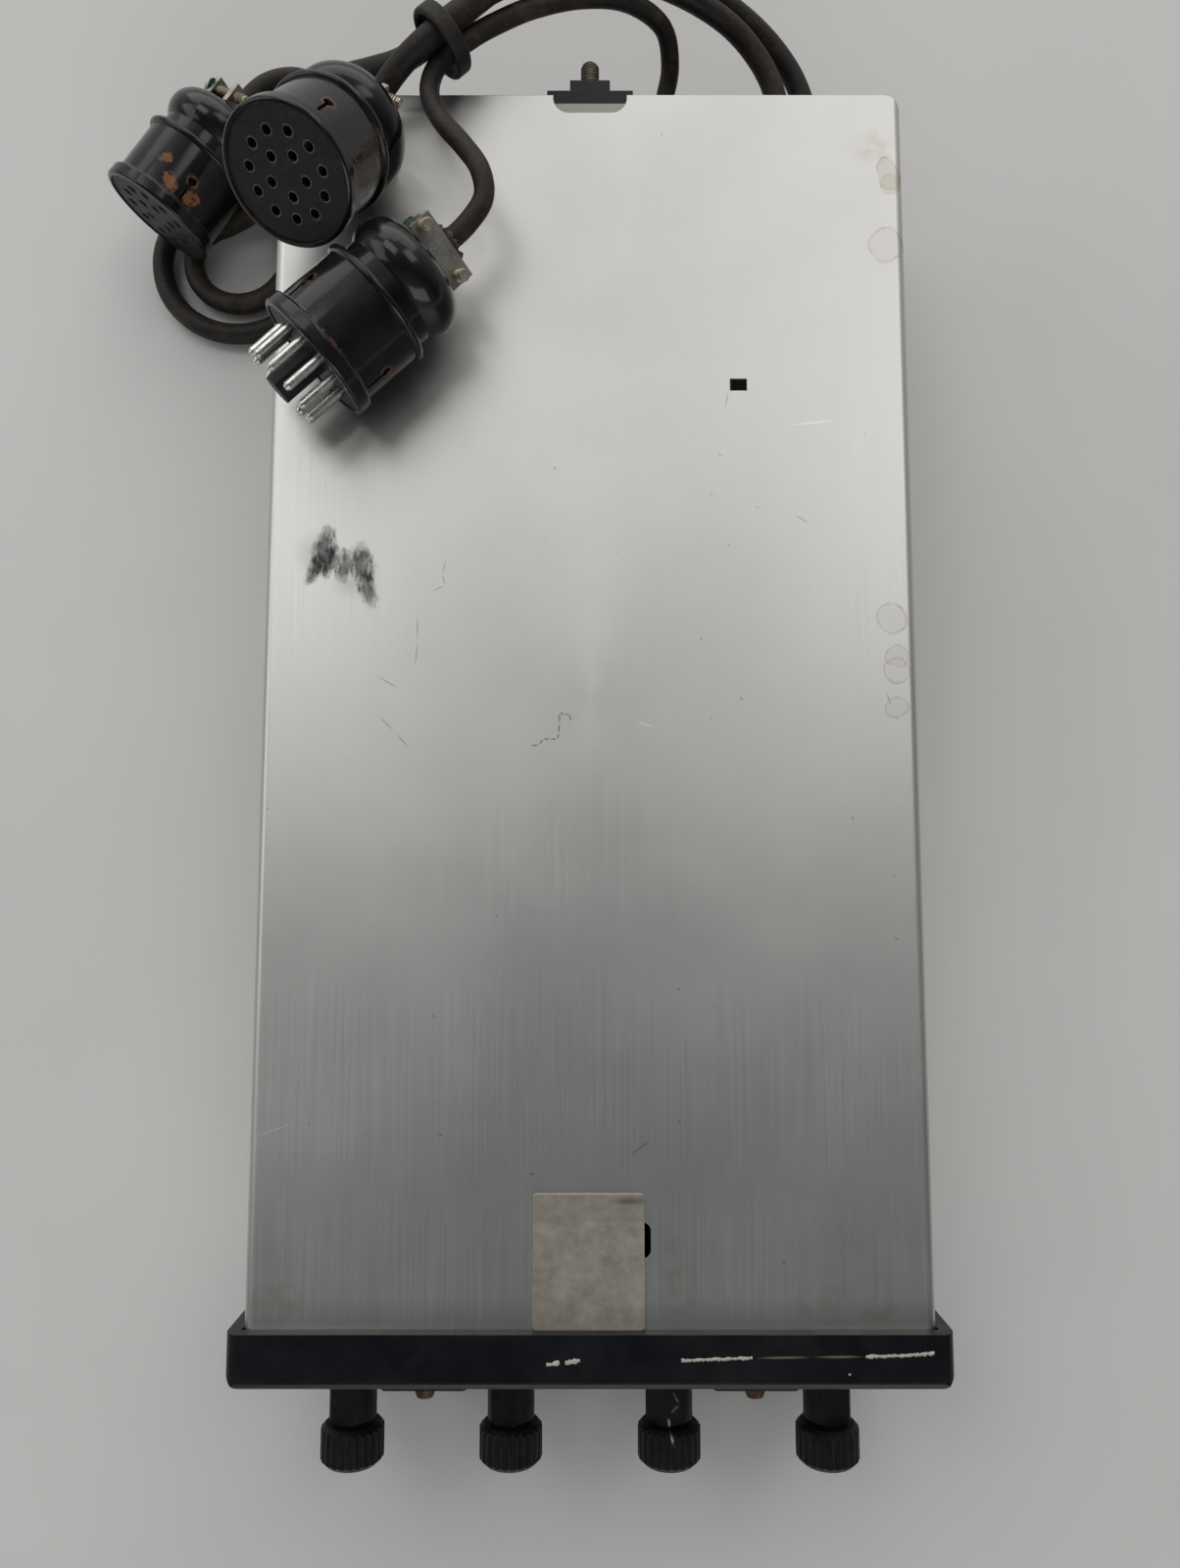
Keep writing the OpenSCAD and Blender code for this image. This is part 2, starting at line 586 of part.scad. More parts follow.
// Rotor of the tuning gang: shaft and half-round plates, hanging fully meshed at rest
module gang_rotor() {
  color([0.78, 0.78, 0.8]) {
    rod(-dial_x, dial_z, disc_y - 0.3, gang_y1 + 1, dial_shaft_r);
    for (k = [0 : plate_n - 1]) translate([-dial_x, 0, dial_z])
      along_y(gang_y0 + 5 + k * plate_pitch, gang_y0 + 6 + k * plate_pitch) {
        intersection() {
          circle(rotor_r);
          translate([-rotor_r - 1, -rotor_r - 1]) square([2 * rotor_r + 2, rotor_r + 1]);
        }
        circle(4.2);
      }
  }
}
// Frame of the gang: end plates, foot, rods and fixed plates
module gang_frame() {
  color([0.62, 0.63, 0.64]) difference() {
    union() {
      for (y = [gang_y0, gang_y1 - 2])
        block(-dial_x - gang_w / 2, gang_w / 2 - dial_x, y, y + 2, deck_z, dial_z + gang_over);
      block(-dial_x - gang_w / 2, gang_w / 2 - dial_x, gang_y0, gang_y1, deck_z, deck_z + 2);
      for (s = [-1, 1]) rod(s * 11.4 - dial_x, dial_z - 11.4, gang_y0 + 1, gang_y1 - 1, 1.4);
      for (k = [0 : plate_n]) translate([-dial_x, 0, dial_z])
        along_y(gang_y0 + 2.2 + k * plate_pitch, gang_y0 + 3 + k * plate_pitch) difference() {
          circle(stator_r);
          circle(5.5);
          translate([-stator_r - 1, -2]) square([2 * stator_r + 2, stator_r + 3]);
        }
    }
    rod(-dial_x, dial_z, gang_y0 - 1, gang_y1 + 1, dial_shaft_r + run);
  }
}

// Crystal switch: rotor with two contact discs, and the wafers round them
module crystal_rotor() {
  color([0.75, 0.7, 0.55]) {
    rod(dial_x, dial_z, disc_y - 0.3, gang_y1 + 1, dial_shaft_r);
    for (y = wafer_y) rod(dial_x, dial_z, y, y + wafer_t, contact_r);
  }
}
module crystal_switch() {
  color([0.5, 0.36, 0.2]) difference() {
    union() {
      for (y = wafer_y) block(dial_x - wafer_w / 2, dial_x + wafer_w / 2, y, y + wafer_t,
        dial_z - wafer_h / 2, dial_z + wafer_h / 2);
      for (s = [-1, 1]) rod(dial_x + s * 12.5, dial_z, gang_y0, gang_y1, 1.6);
      for (y = [gang_y0, gang_y1 - 2])
        block(dial_x - wafer_w / 2, dial_x + wafer_w / 2, y, y + 2, deck_z, dial_z + 8);
    }
    for (y = wafer_y) rod(dial_x, dial_z, y - 1, y + wafer_t + 1, contact_r + 0.4);
    for (y = [gang_y0, gang_y1 - 2]) rod(dial_x, dial_z, y - 1, y + 3, dial_shaft_r + run);
  }
}
module crystals() {
  color([0.72, 0.72, 0.7]) for (p = crystal_at)
    block(p[0] - 4.6, p[0] + 4.6, p[1] - 2, p[1] + 2, deck_z, deck_z + 14);
}

// Tubes in their sockets, cans and the output transformer
module tube_sockets() {
  color([0.35, 0.24, 0.14]) for (p = tube_at) translate([p[0], panel_y + p[1], deck_z])
    cylinder(r = 11, h = 4);
}
module tubes() {
  color([0.8, 0.85, 0.85, 0.5]) for (p = tube_at) translate([p[0], panel_y + p[1], deck_z + 4]) {
    cylinder(r = 9.2, h = 24);
    translate([0, 0, 24]) cylinder(r1 = 9.2, r2 = 5, h = 5);
    translate([0, 0, 29]) cylinder(r1 = 5, r2 = 1.5, h = 4);
  }
}
module if_cans() {
  color([0.8, 0.8, 0.8]) for (p = can_at)
    block(p[0] - can_w / 2, p[0] + can_w / 2, p[1] - can_w / 2, p[1] + can_w / 2, deck_z, deck_z + can_h);
}
module output_transformer() {
  color([0.3, 0.28, 0.26]) {
    translate([core_x - core_w / 2, panel_y + core_y - core_t / 2, deck_z]) cube([core_w, core_t, core_h]);
    translate([core_x - winding_w / 2, panel_y + core_y - winding_l / 2, deck_z + 6])
      cube([winding_w, winding_l, core_h - 12]);
  }
}

// Rubber grommets in the rear panel
module cord_grommets() {
  color([0.05, 0.05, 0.05]) for (e = exits)
    translate([e[0][0], panel_y + back_y, e[0][2]]) rotate([-90, 0, 0])
    rotate_extrude() difference() {
      translate([e[1] + 0.06, -2]) square([6.2 - e[1] - 0.06, back_t + 4]);
      translate([4.95, -0.02]) square([4, back_t + 0.04]);
    }
}
module plug_cord() { color([0.13, 0.1, 0.08]) tube(PLUG_ROUTE, thin_r); }
module front_cord() { color([0.13, 0.1, 0.08]) tube(FRONT_ROUTE, cord_r); }
module side_cord() {
  echo("least gap of the side cord to itself", self_gap(finer(SIDE_ROUTE, 3), cord_r, 12));
  color([0.13, 0.1, 0.08]) tube(SIDE_ROUTE, cord_r);
}
// Ring that ties the three cords behind the case
module cord_ring() {
  color([0.04, 0.04, 0.04]) translate(ring_at) rotate([0, 90, ring_heading]) rotate_extrude()
    translate([ring_in, -ring_h / 2]) round_square(ring_t, ring_h);
}
module round_square(w, h) {
  translate([0, 0.8]) square([w, h - 1.6]);
  translate([0.8, 0]) square([w - 1.6, h]);
  for (x = [0.8, w - 0.8]) for (y = [0.8, h - 0.8]) translate([x, y]) circle(0.8);
}

// Connectors: face at the local origin, axis running back to the clamp
module at(c) { translate(c[0]) rotate([0, c[1], c[2]]) rotate([0, 0, c[3]]) children(); }
module shell_turned(r) {
  rotate_extrude() difference() {
    union() {
      translate([0, 0.9]) square([rim_r, 2.2]);
      translate([0, 0]) square([rim_r - 0.9, 4]);
      for (y = [0.9, 3.1]) translate([rim_r - 0.9, y]) circle(0.9);
      square([rim_r - 1.3, 21]);
      translate([rim_r - 1.3, 20]) circle(1);
      translate([0, 20]) square([rim_r - 2.8, 8]);
      intersection() {
        translate([rim_r - 7.6, 29]) circle(6.6);
        square([rim_r, 40]);
      }
      square([rim_r - 7.6, 35.6]);
      square([6.4, clamp_at]);
    }
    translate([0, -1]) square([insert_r + 0.05, 13]);
    translate([0, -1]) square([flange_r + 0.05, face_z + flange_t + 1.05]);
    translate([0, 11]) square([rim_r - 5, 17]);
    square([r + 0.1, 40]);
  }
}
module shell(r, turn) {
  color([0.08, 0.08, 0.09]) difference() {
    shell_turned(r);
    for (k = [0 : 2]) rotate([0, 0, turn + 120 * k]) translate([rim_r - 3.4, 0, slot_y]) {
      translate([0, -slot_w / 2, 0]) cube([4, slot_w, slot_l]);
      translate([0, 0, slot_l]) rotate([0, 90, 0]) cylinder(r = slot_end_r, h = 4, $fn = 24);
    }
  }
}
module insert_body() {
  translate([0, 0, face_z]) cylinder(r = insert_r, h = 11.9 - face_z);
  translate([0, 0, face_z]) cylinder(r = flange_r, h = flange_t);
}
module socket_insert() {
  color([0.04, 0.04, 0.04]) difference() {
    insert_body();
    for (k = [0 : 10]) rotate([0, 0, k * 360 / 11]) translate([contact_ring, 0, 0])
      cylinder(r = hole_r, h = 9);
    for (k = [0 : 4]) rotate([0, 0, k * 72 + 16]) translate([contact_ring / 2, 0, 0])
      cylinder(r = hole_r, h = 9);
  }
}
module front_shell() { at(front_at) shell(cord_r, 18); }
module side_shell() { at(side_at) shell(cord_r, 40); }
module plug_shell() { at(plug_at) shell(thin_r, -35); }
module front_insert() { at(front_at) socket_insert(); }
module side_insert() { at(side_at) socket_insert(); }
module plug_insert() {
  color([0.04, 0.04, 0.04]) at(plug_at) difference() {
    union() {
      insert_body();
      translate([0, 0, -11]) cylinder(r = 3.6, h = 12);
      translate([0, 0, -11]) translate([3, -0.9, 0]) cube([1.4, 1.8, 12]);
    }
    for (k = [0 : 10]) rotate([0, 0, k * 360 / 11]) translate([contact_ring, 0, 0])
      cylinder(r = pin_root_r + 0.01, h = 9);
  }
}
module plug_pins() {
  color([0.78, 0.78, 0.76]) at(plug_at) for (k = [0 : 10])
  rotate([0, 0, k * 360 / 11]) translate([contact_ring, 0, 0]) {
    translate([0, 0, 0.8 - pin_out]) cylinder(r = pin_r, h = pin_out + face_z - 0.82);
    translate([0, 0, -pin_out]) cylinder(r1 = pin_r - 0.5, r2 = pin_r, h = 0.8);
    cylinder(r = pin_root_r, h = 8);
  }
}
// Saddle clamps in two halves on the cord, drawn together by two screws
module clamp_half(s, r) {
  difference() {
    union() {
      translate([s > 0 ? ear_in : -ear_in - ear_t, -ear_w / 2, clamp_at]) cube([ear_t, ear_w, clamp_l]);
      intersection() {
        translate([0, 0, clamp_at]) cylinder(r = ear_in + ear_t + 0.6, h = clamp_l);
        translate([s > 0 ? 0.6 : -ear_in - ear_t, -ear_w / 2, clamp_at])
          cube([ear_in + ear_t - 0.6, ear_w, clamp_l]);
      }
    }
    translate([0, 0, clamp_at - 1]) cylinder(r = r + 0.06, h = clamp_l + 2);
    for (t = [-1, 1]) translate([-10, t * clamp_screw_y, clamp_at + clamp_l / 2]) rotate([0, 90, 0])
      cylinder(r = clamp_screw_r + 0.05, h = 20);
  }
}
module cable_clamps() {
  color([0.55, 0.54, 0.5]) for (c = CONNECTORS) at(c) rotate([0, 0, c[4] - c[3]]) for (s = [-1, 1])
    clamp_half(s, c == plug_at ? thin_r : cord_r);
}
// Fillister-head screws with a slot and a long free end
module clamp_screw() {
  head_y = ear_in + ear_t;
  difference() {
    union() {
      translate([0, 0, -screw_tail]) cylinder(r = clamp_screw_r, h = screw_tail + head_y + 0.5);
      translate([0, 0, head_y]) cylinder(r = 2.3, h = 1.7);
      translate([0, 0, head_y + 1.7]) cylinder(r1 = 2.3, r2 = 1.5, h = 0.6);
    }
    translate([-3, -0.3, head_y + 1.3]) cube([6, 0.6, 2]);
  }
}
module clamp_screws() {
  color([0.5, 0.52, 0.46]) for (c = CONNECTORS) at(c) rotate([0, 0, c[4] - c[3]]) for (t = [-1, 1])
    translate([0, t * clamp_screw_y, clamp_at + clamp_l / 2]) rotate([0, 90, 0]) clamp_screw();
}

front_panel();
top_cover();
bottom_cover();
chassis();
control_plate();
rear_panel();
stud_bracket();
mounting_stud();
stud_nut();
access_plate();
cover_screws();
escutcheons();
escutcheon_screws();
dial_windows();
squelch_knob();
squelch_sleeve();
volume_knob();
volume_shaft();
tuning_knob();
tuning_sleeve();
fine_knob();
fine_shaft();
channel_knob();
channel_sleeve();
mode_knob();
mode_shaft();
dimmer_knob();
dimmer_sleeve();
phones_knob();
phones_shaft();
control_units();
receiver_dial();
receiver_gear();
gang_rotor();
gang_frame();
channel_dial();
channel_gear();
crystal_rotor();
crystal_switch();
crystals();
tube_sockets();
tubes();
if_cans();
output_transformer();
cord_grommets();
plug_cord();
front_cord();
side_cord();
cord_ring();
front_shell();
front_insert();
side_shell();
side_insert();
plug_shell();
plug_insert();
plug_pins();
cable_clamps();
clamp_screws();
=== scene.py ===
import json
import math
import random

import bmesh
import bpy
from mathutils import Matrix, Vector


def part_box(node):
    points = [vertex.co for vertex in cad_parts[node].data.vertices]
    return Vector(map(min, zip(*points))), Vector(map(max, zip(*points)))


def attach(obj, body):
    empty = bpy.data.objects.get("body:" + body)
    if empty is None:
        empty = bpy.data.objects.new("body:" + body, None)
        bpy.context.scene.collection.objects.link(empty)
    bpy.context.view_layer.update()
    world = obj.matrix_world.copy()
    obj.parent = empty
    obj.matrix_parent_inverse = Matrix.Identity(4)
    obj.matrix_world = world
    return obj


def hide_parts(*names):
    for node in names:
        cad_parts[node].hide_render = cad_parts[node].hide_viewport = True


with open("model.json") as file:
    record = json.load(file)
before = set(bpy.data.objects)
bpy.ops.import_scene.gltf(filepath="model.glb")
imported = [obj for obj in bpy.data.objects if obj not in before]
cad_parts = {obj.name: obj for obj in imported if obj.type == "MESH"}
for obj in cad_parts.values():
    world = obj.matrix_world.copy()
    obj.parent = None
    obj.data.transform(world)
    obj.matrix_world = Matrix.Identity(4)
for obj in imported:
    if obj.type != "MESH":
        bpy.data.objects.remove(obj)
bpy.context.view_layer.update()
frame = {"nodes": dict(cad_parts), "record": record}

random.seed(7)

# One millimetre, and places taken from the frame: boxes in metres, edges in millimetres
MM = 0.001
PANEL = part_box("front_panel")
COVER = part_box("top_cover")
PANEL_TOP = PANEL[1][2] / MM
COVER_REAR = COVER[1][1] / MM

# Thickness of printed ink in metres, and the usual rounding of an edge in millimetres
SKIN = 0.03 * MM
SOFT_EDGE = 0.25


def mm(x, y, z):
    return Vector((x * MM, y * MM, z * MM))


# Camera: the photograph was taken from above, close to the front half of the cover
IMAGE_H = 1600
FOCAL_PX = 1157
SENSOR = 36
NEAREST = 0.01
CAMERA_AT = mm(0, -40.5, 327.15)
CAMERA_TILT = math.radians(5.9)


def make_camera():
    data = bpy.data.cameras.new("camera")
    data.sensor_width = SENSOR
    data.lens = FOCAL_PX / IMAGE_H * SENSOR
    data.clip_start = NEAREST
    camera = bpy.data.objects.new("camera", data)
    camera.location = CAMERA_AT
    camera.rotation_euler = (CAMERA_TILT, 0, 0)
    bpy.context.collection.objects.link(camera)
    bpy.context.scene.camera = camera


make_camera()

# Cord routes in millimetres, the points of the part's source
PLUG_ROUTE = [
    (19.5, 158, 32), (19.5, 171, 32), (20.5, 180, 33), (22, 187.5, 37.5), (19.5, 193, 45),
    (10, 193.5, 53), (-2, 190, 58.5), (-14, 184, 62.5), (-24, 177.4, 64.8), (-30.8, 172.5, 65.4),
    (-37.5, 166.5, 65.4), (-39.6, 158, 66.6), (-36.4, 149, 69), (-30.6, 140, 72.5), (-26.2, 132.5, 74.4),
    (-25.2, 125.5, 74.2), (-28.9, 119.4, 73.6), (-34.3, 114.2, 73.25), (-38.7, 110.2, 73.25)]
FRONT_ROUTE = [
    (52.5, 158, 34), (52.5, 170, 34), (51.5, 180, 34.5), (47, 189, 37), (38.5, 196, 41.5),
    (27, 199.5, 47), (14, 200, 53), (1, 197.5, 59), (-11.5, 192, 64.8), (-23, 183.6, 69.3),
    (-33, 174.9, 70.7), (-39.7, 169, 70.7), (-45.8, 164.6, 68.4), (-50.5, 161.1, 65.2),
    (-53.3, 157.4, 63.4), (-54.7, 153.4, 64.7), (-56.6, 148.8, 68.1)]
SIDE_START = [
    (62.5, 158, 26), (62.5, 170, 26), (61.5, 181, 26.5), (57, 191.5, 29), (48.5, 200, 33),
    (37, 205.5, 38.5), (24, 207.5, 45), (10, 206.5, 51.5), (-4, 203, 57), (-17, 195.5, 61.5),
    (-27.5, 185, 64.2), (-34.9, 177.2, 65), (-41.6, 171.3, 64.8), (-48, 168.9, 62.8),
    (-55.5, 169.8, 58.9), (-64, 173.5, 51.5), (-73, 176.3, 41.5), (-81, 175.5, 31),
    (-88, 170.3, 20), (-95, 165.6, 11.4), (-102.6, 163.6, 7)]
SIDE_END = [
    (-83.2, 152, 3.4), (-83.4, 162, 4.6), (-79.5, 172, 7), (-74.5, 180, 10.5), (-72.5, 187.5, 14.5),
    (-76.5, 193.7, 18.5), (-84.5, 196.3, 21.5), (-93, 193.8, 22.6), (-99.4, 187.6, 22.6),
    (-102.8, 182.6, 22.6)]

# Coil of the side cord: middle, radius at its start and its growth a turn in millimetres, angles in degrees
COIL_MID = (-107, 152.5)
COIL_FIRST = 10.3
COIL_STEP = 9.5
COIL_FROM = 110
COIL_TURN = 585
COIL_Z = 3.2
COIL_N = 30


def coil_point(turned):
    """A point of the coil, some degrees after its start."""
    radius = COIL_FIRST + COIL_STEP * turned / 360
    angle = math.radians(COIL_FROM + turned)
    return COIL_MID[0] + radius * math.cos(angle), COIL_MID[1] + radius * math.sin(angle), COIL_Z


COIL = [coil_point(COIL_TURN * k / COIL_N) for k in range(COIL_N + 1)]
SIDE_ROUTE = SIDE_START + COIL + SIDE_END

# Radii of the thin and the thick cords in millimetres
THIN_R = 2.5
THICK_R = 3


def smooth(route, steps=6):
    """Points of a smooth curve through a route, in metres."""
    points = [mm(*p) for p in route]
    points = [2 * points[0] - points[1]] + points + [2 * points[-1] - points[-2]]
    out = []
    for a, b, c, d in zip(points, points[1:], points[2:], points[3:]):
        for k in range(steps):
            t = k / steps
            point = 0.5 * (2 * b + (c - a) * t + (2 * a - 5 * b + 4 * c - d) * t * t
                           + (3 * b - a - 3 * c + d) * t ** 3)
            point.z = max(point.z, min(b.z, c.z))
            out.append(point)
    return out + [points[-2]]


def make_cord(node, route, radius):
    """A cord along a route, its radius in millimetres and its length in metres."""
    data = bpy.data.curves.new(node + "_line", "CURVE")
    data.dimensions = "3D"
    data.bevel_depth = 1
    data.bevel_resolution = 5
    data.use_fill_caps = True
    spline = data.splines.new("POLY")
    points = smooth(route)
    spline.points.add(len(points) - 1)
    for spot, point in zip(spline.points, points):
        spot.co = (*point, 1)
        spot.radius = radius * MM
    cord = bpy.data.objects.new(node + "_rubber", data)
    bpy.context.collection.objects.link(cord)
    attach(cord, "case")
    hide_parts(node)
    return cord


cords = [
    make_cord("plug_cord", PLUG_ROUTE, THIN_R),
    make_cord("front_cord", FRONT_ROUTE, THICK_R),
    make_cord("side_cord", SIDE_ROUTE, THICK_R),
]


# A size so large that marks seen from above lie at any height
ANY_HEIGHT = 100000


def set_stops(ramp, stops):
    """Give a colour ramp its places and colours; one number is a grey level."""
    while len(ramp.elements) < len(stops):
        ramp.elements.new(0.5)
    for element, (place, colour) in zip(ramp.elements, stops):
        element.position = place
        element.color = (*colour, 1) if isinstance(colour, tuple) else (colour, colour, colour, 1)


class Shader:
    """A procedural material. Its texture space is the frame in millimetres."""

    def __init__(self, name, metallic=0.0, coat=0.0, specular=0.5):
        self.material = bpy.data.materials.new(name)
        self.material.use_nodes = True
        self.tree = self.material.node_tree
        self.surface = self.tree.nodes["Principled BSDF"]
        self.surface.inputs["Metallic"].default_value = metallic
        self.surface.inputs["Coat Weight"].default_value = coat
        self.surface.inputs["Specular IOR Level"].default_value = specular
        where = self.node("ShaderNodeMapping")
        where.inputs["Scale"].default_value = (1 / MM, 1 / MM, 1 / MM)
        self.link(self.node("ShaderNodeTexCoord").outputs["Object"], where.inputs["Vector"])
        self.where = where.outputs[0]

    def node(self, kind, **settings):
        made = self.tree.nodes.new(kind)
        for key, value in settings.items():
            setattr(made, key, value)
        return made

    def link(self, value, socket):
        if isinstance(value, bpy.types.NodeSocket):
            self.tree.links.new(value, socket)
        else:
            socket.default_value = value

    def noise(self, scale, stretch=(1, 1, 1), turn=0.0, detail=3.0, roughness=0.55):
        """Noise with about scale features per millimetre, drawn out where stretch is small."""
        place = self.node("ShaderNodeMapping")
        place.inputs["Scale"].default_value = stretch
        place.inputs["Rotation"].default_value = (0, 0, turn)
        self.link(self.where, place.inputs["Vector"])
        made = self.node("ShaderNodeTexNoise")
        made.inputs["Scale"].default_value = scale
        made.inputs["Detail"].default_value = detail
        made.inputs["Roughness"].default_value = roughness
        self.link(place.outputs[0], made.inputs["Vector"])
        return made.outputs[0]

    def ramp(self, value, *stops):
        """Colours or grey levels at given values."""
        made = self.node("ShaderNodeValToRGB")
        set_stops(made.color_ramp, stops)
        self.link(value, made.inputs[0])
        return made.outputs[0]

    def maths(self, operation, a, b=0.0):
        clamped = operation in ("ADD", "SUBTRACT")
        made = self.node("ShaderNodeMath", operation=operation, use_clamp=clamped)
        self.link(a, made.inputs[0])
        self.link(b, made.inputs[1])
        return made.outputs[0]

    def times(self, *values):
        out = values[0]
        for value in values[1:]:
            out = self.maths("MULTIPLY", out, value)
        return out

    def span(self, value, low, high, bottom=0.0, top=1.0):
        """Bottom at a low value and top at a high one, in proportion between them."""
        made = self.node("ShaderNodeMapRange")
        self.link(value, made.inputs["Value"])
        for name, number in (("From Min", low), ("From Max", high), ("To Min", bottom), ("To Max", top)):
            made.inputs[name].default_value = number
        return made.outputs[0]

    def mix(self, amount, a, b):
        made = self.node("ShaderNodeMix", data_type="RGBA")
        for value, socket in ((amount, 0), (a, 6), (b, 7)):
            self.link((*value, 1) if isinstance(value, tuple) else value, made.inputs[socket])
        return made.outputs[2]

    def warped(self, scale, amount):
        """Places shifted by noise, for ragged outlines."""
        noise = self.node("ShaderNodeTexNoise")
        noise.inputs["Scale"].default_value = scale
        noise.inputs["Detail"].default_value = 5
        self.link(self.where, noise.inputs["Vector"])
        shift = self.node("ShaderNodeVectorMath", operation="MULTIPLY_ADD")
        self.link(noise.outputs["Color"], shift.inputs[0])
        shift.inputs[1].default_value = (amount, amount, amount)
        self.link(self.where, shift.inputs[2])
        middle = self.node("ShaderNodeVectorMath", operation="SUBTRACT")
        self.link(shift.outputs[0], middle.inputs[0])
        middle.inputs[1].default_value = (amount / 2, amount / 2, amount / 2)
        return middle.outputs[0]

    def reach(self, centre, size, turn=0.0, where=None):
        """Distance from a centre, where 1 is the edge of an ellipse of that size seen from above."""
        place = self.node("ShaderNodeMapping", vector_type="TEXTURE")
        place.inputs["Location"].default_value = (*centre, 0)
        place.inputs["Rotation"].default_value = (0, 0, turn)
        place.inputs["Scale"].default_value = (*size, ANY_HEIGHT)
        self.link(where or self.where, place.inputs["Vector"])
        made = self.node("ShaderNodeVectorMath", operation="LENGTH")
        self.link(place.outputs[0], made.inputs[0])
        return made.outputs["Value"]

    def spot(self, centre, size, turn=0.0, soft=0.5, where=None):
        """1 inside an ellipse seen from above, 0 outside, with a soft border."""
        return self.span(self.reach(centre, size, turn, where), 1, 1 - soft)

    def ring(self, centre, size, turn=0.0, where=None):
        """The rim of an ellipse seen from above."""
        away = self.reach(centre, size, turn, where)
        return self.times(self.span(away, 0.8, 0.94), self.span(away, 1, 0.96))

    def line(self, start, end, width, soft=0.6):
        """A straight mark seen from above."""
        run = Vector(end) - Vector(start)
        middle = (Vector(start) + Vector(end)) / 2
        return self.spot(middle, (run.length / 2, width / 2), math.atan2(run.y, run.x), soft)

    def near(self, points, radius, soft=0.5):
        """1 close to any of some points, 0 beyond a radius."""
        out = 0.0
        for point in points:
            made = self.node("ShaderNodeVectorMath", operation="DISTANCE")
            self.link(self.where, made.inputs[0])
            made.inputs[1].default_value = point
            close = self.span(made.outputs["Value"], radius, radius * (1 - soft))
            out = self.maths("MAXIMUM", close, out)
        return out

    def edges(self, radius, low=0.03, high=0.2):
        """1 along sharp edges, 0 on flat faces."""
        soft = self.node("ShaderNodeBevel", samples=6)
        soft.inputs["Radius"].default_value = radius * MM
        facing = self.node("ShaderNodeVectorMath", operation="DOT_PRODUCT")
        self.link(soft.outputs[0], facing.inputs[0])
        self.link(self.node("ShaderNodeNewGeometry").outputs["Normal"], facing.inputs[1])
        return self.span(facing.outputs["Value"], 1 - low, 1 - high)

    def axis(self, name):
        made = self.node("ShaderNodeSeparateXYZ")
        self.link(self.where, made.inputs[0])
        return made.outputs[name]

    def colour(self, value):
        self.link((*value, 1) if isinstance(value, tuple) else value, self.surface.inputs["Base Color"])

    def rough(self, value):
        self.link(value, self.surface.inputs["Roughness"])

    def depth(self, origin, direction):
        """How far along a direction from an origin, in millimetres."""
        away = self.node("ShaderNodeVectorMath", operation="SUBTRACT")
        self.link(self.where, away.inputs[0])
        away.inputs[1].default_value = origin
        made = self.node("ShaderNodeVectorMath", operation="DOT_PRODUCT")
        self.link(away.outputs[0], made.inputs[0])
        made.inputs[1].default_value = direction
        return made.outputs["Value"]

    def bump(self, height, depth, strength=1.0, soft_edge=SOFT_EDGE):
        """Relief of a depth in millimetres."""
        made = self.node("ShaderNodeBump")
        made.inputs["Strength"].default_value = strength
        made.inputs["Distance"].default_value = depth * MM
        soft = self.node("ShaderNodeBevel", samples=4)
        soft.inputs["Radius"].default_value = soft_edge * MM
        self.link(soft.outputs[0], made.inputs["Normal"])
        self.link(height, made.inputs["Height"])
        self.link(made.outputs[0], self.surface.inputs["Normal"])


# Connectors: face centre and axis come from the record's mounts, turns about the axis are in degrees
MOUNTS = {mount["name"]: mount for mount in frame["record"]["mounts"]}
FACE_DEPTH = {"front_socket": 0.4, "side_socket": 0.4, "plug_contacts": -4.5}
CLAMP_TURN = {"front_socket": 90, "side_socket": 70, "plug_contacts": 35}
CONTACT_TURN = 180
INNER_CONTACTS = 5
INNER_TURN = 16
CLAMP_MID = 39
CLAMP_END = 42
CLAMP_SCREW_Y = 6.6
CLAMP_SCREW_R = 1.25
BARREL_R = 15.1
SLOT_TURN = {"front_socket": 198, "side_socket": 220, "plug_contacts": 145}
SLOT_END = 10.6
RIM_END = 4


def connector(name, turn):
    """Place of a connector: origin at the middle of its rim, Z into the shell."""
    axis = -Vector(MOUNTS[name]["axis"])
    origin = Vector(MOUNTS[name]["pos_m"]) - axis * FACE_DEPTH[name] * MM
    heading = Matrix.Rotation(math.atan2(axis.y, axis.x), 4, "Z")
    tilt = Matrix.Rotation(math.acos(axis.z), 4, "Y")
    return Matrix.Translation(origin) @ heading @ tilt @ Matrix.Rotation(math.radians(turn), 4, "Z")


def on_shell(name, turn, along):
    """A point on a connector's barrel, in millimetres."""
    return tuple((connector(name, turn) @ mm(BARREL_R, 0, along)) / MM)


def clamp_screw_places():
    """Places of the six clamp screws: origin between the clamp halves, Z toward the head."""
    out = []
    for name, turn in CLAMP_TURN.items():
        for side in (-1, 1):
            middle = Matrix.Translation(mm(0, side * CLAMP_SCREW_Y, CLAMP_MID))
            out.append(connector(name, turn) @ middle @ Matrix.Rotation(math.pi / 2, 4, "Y"))
    return out


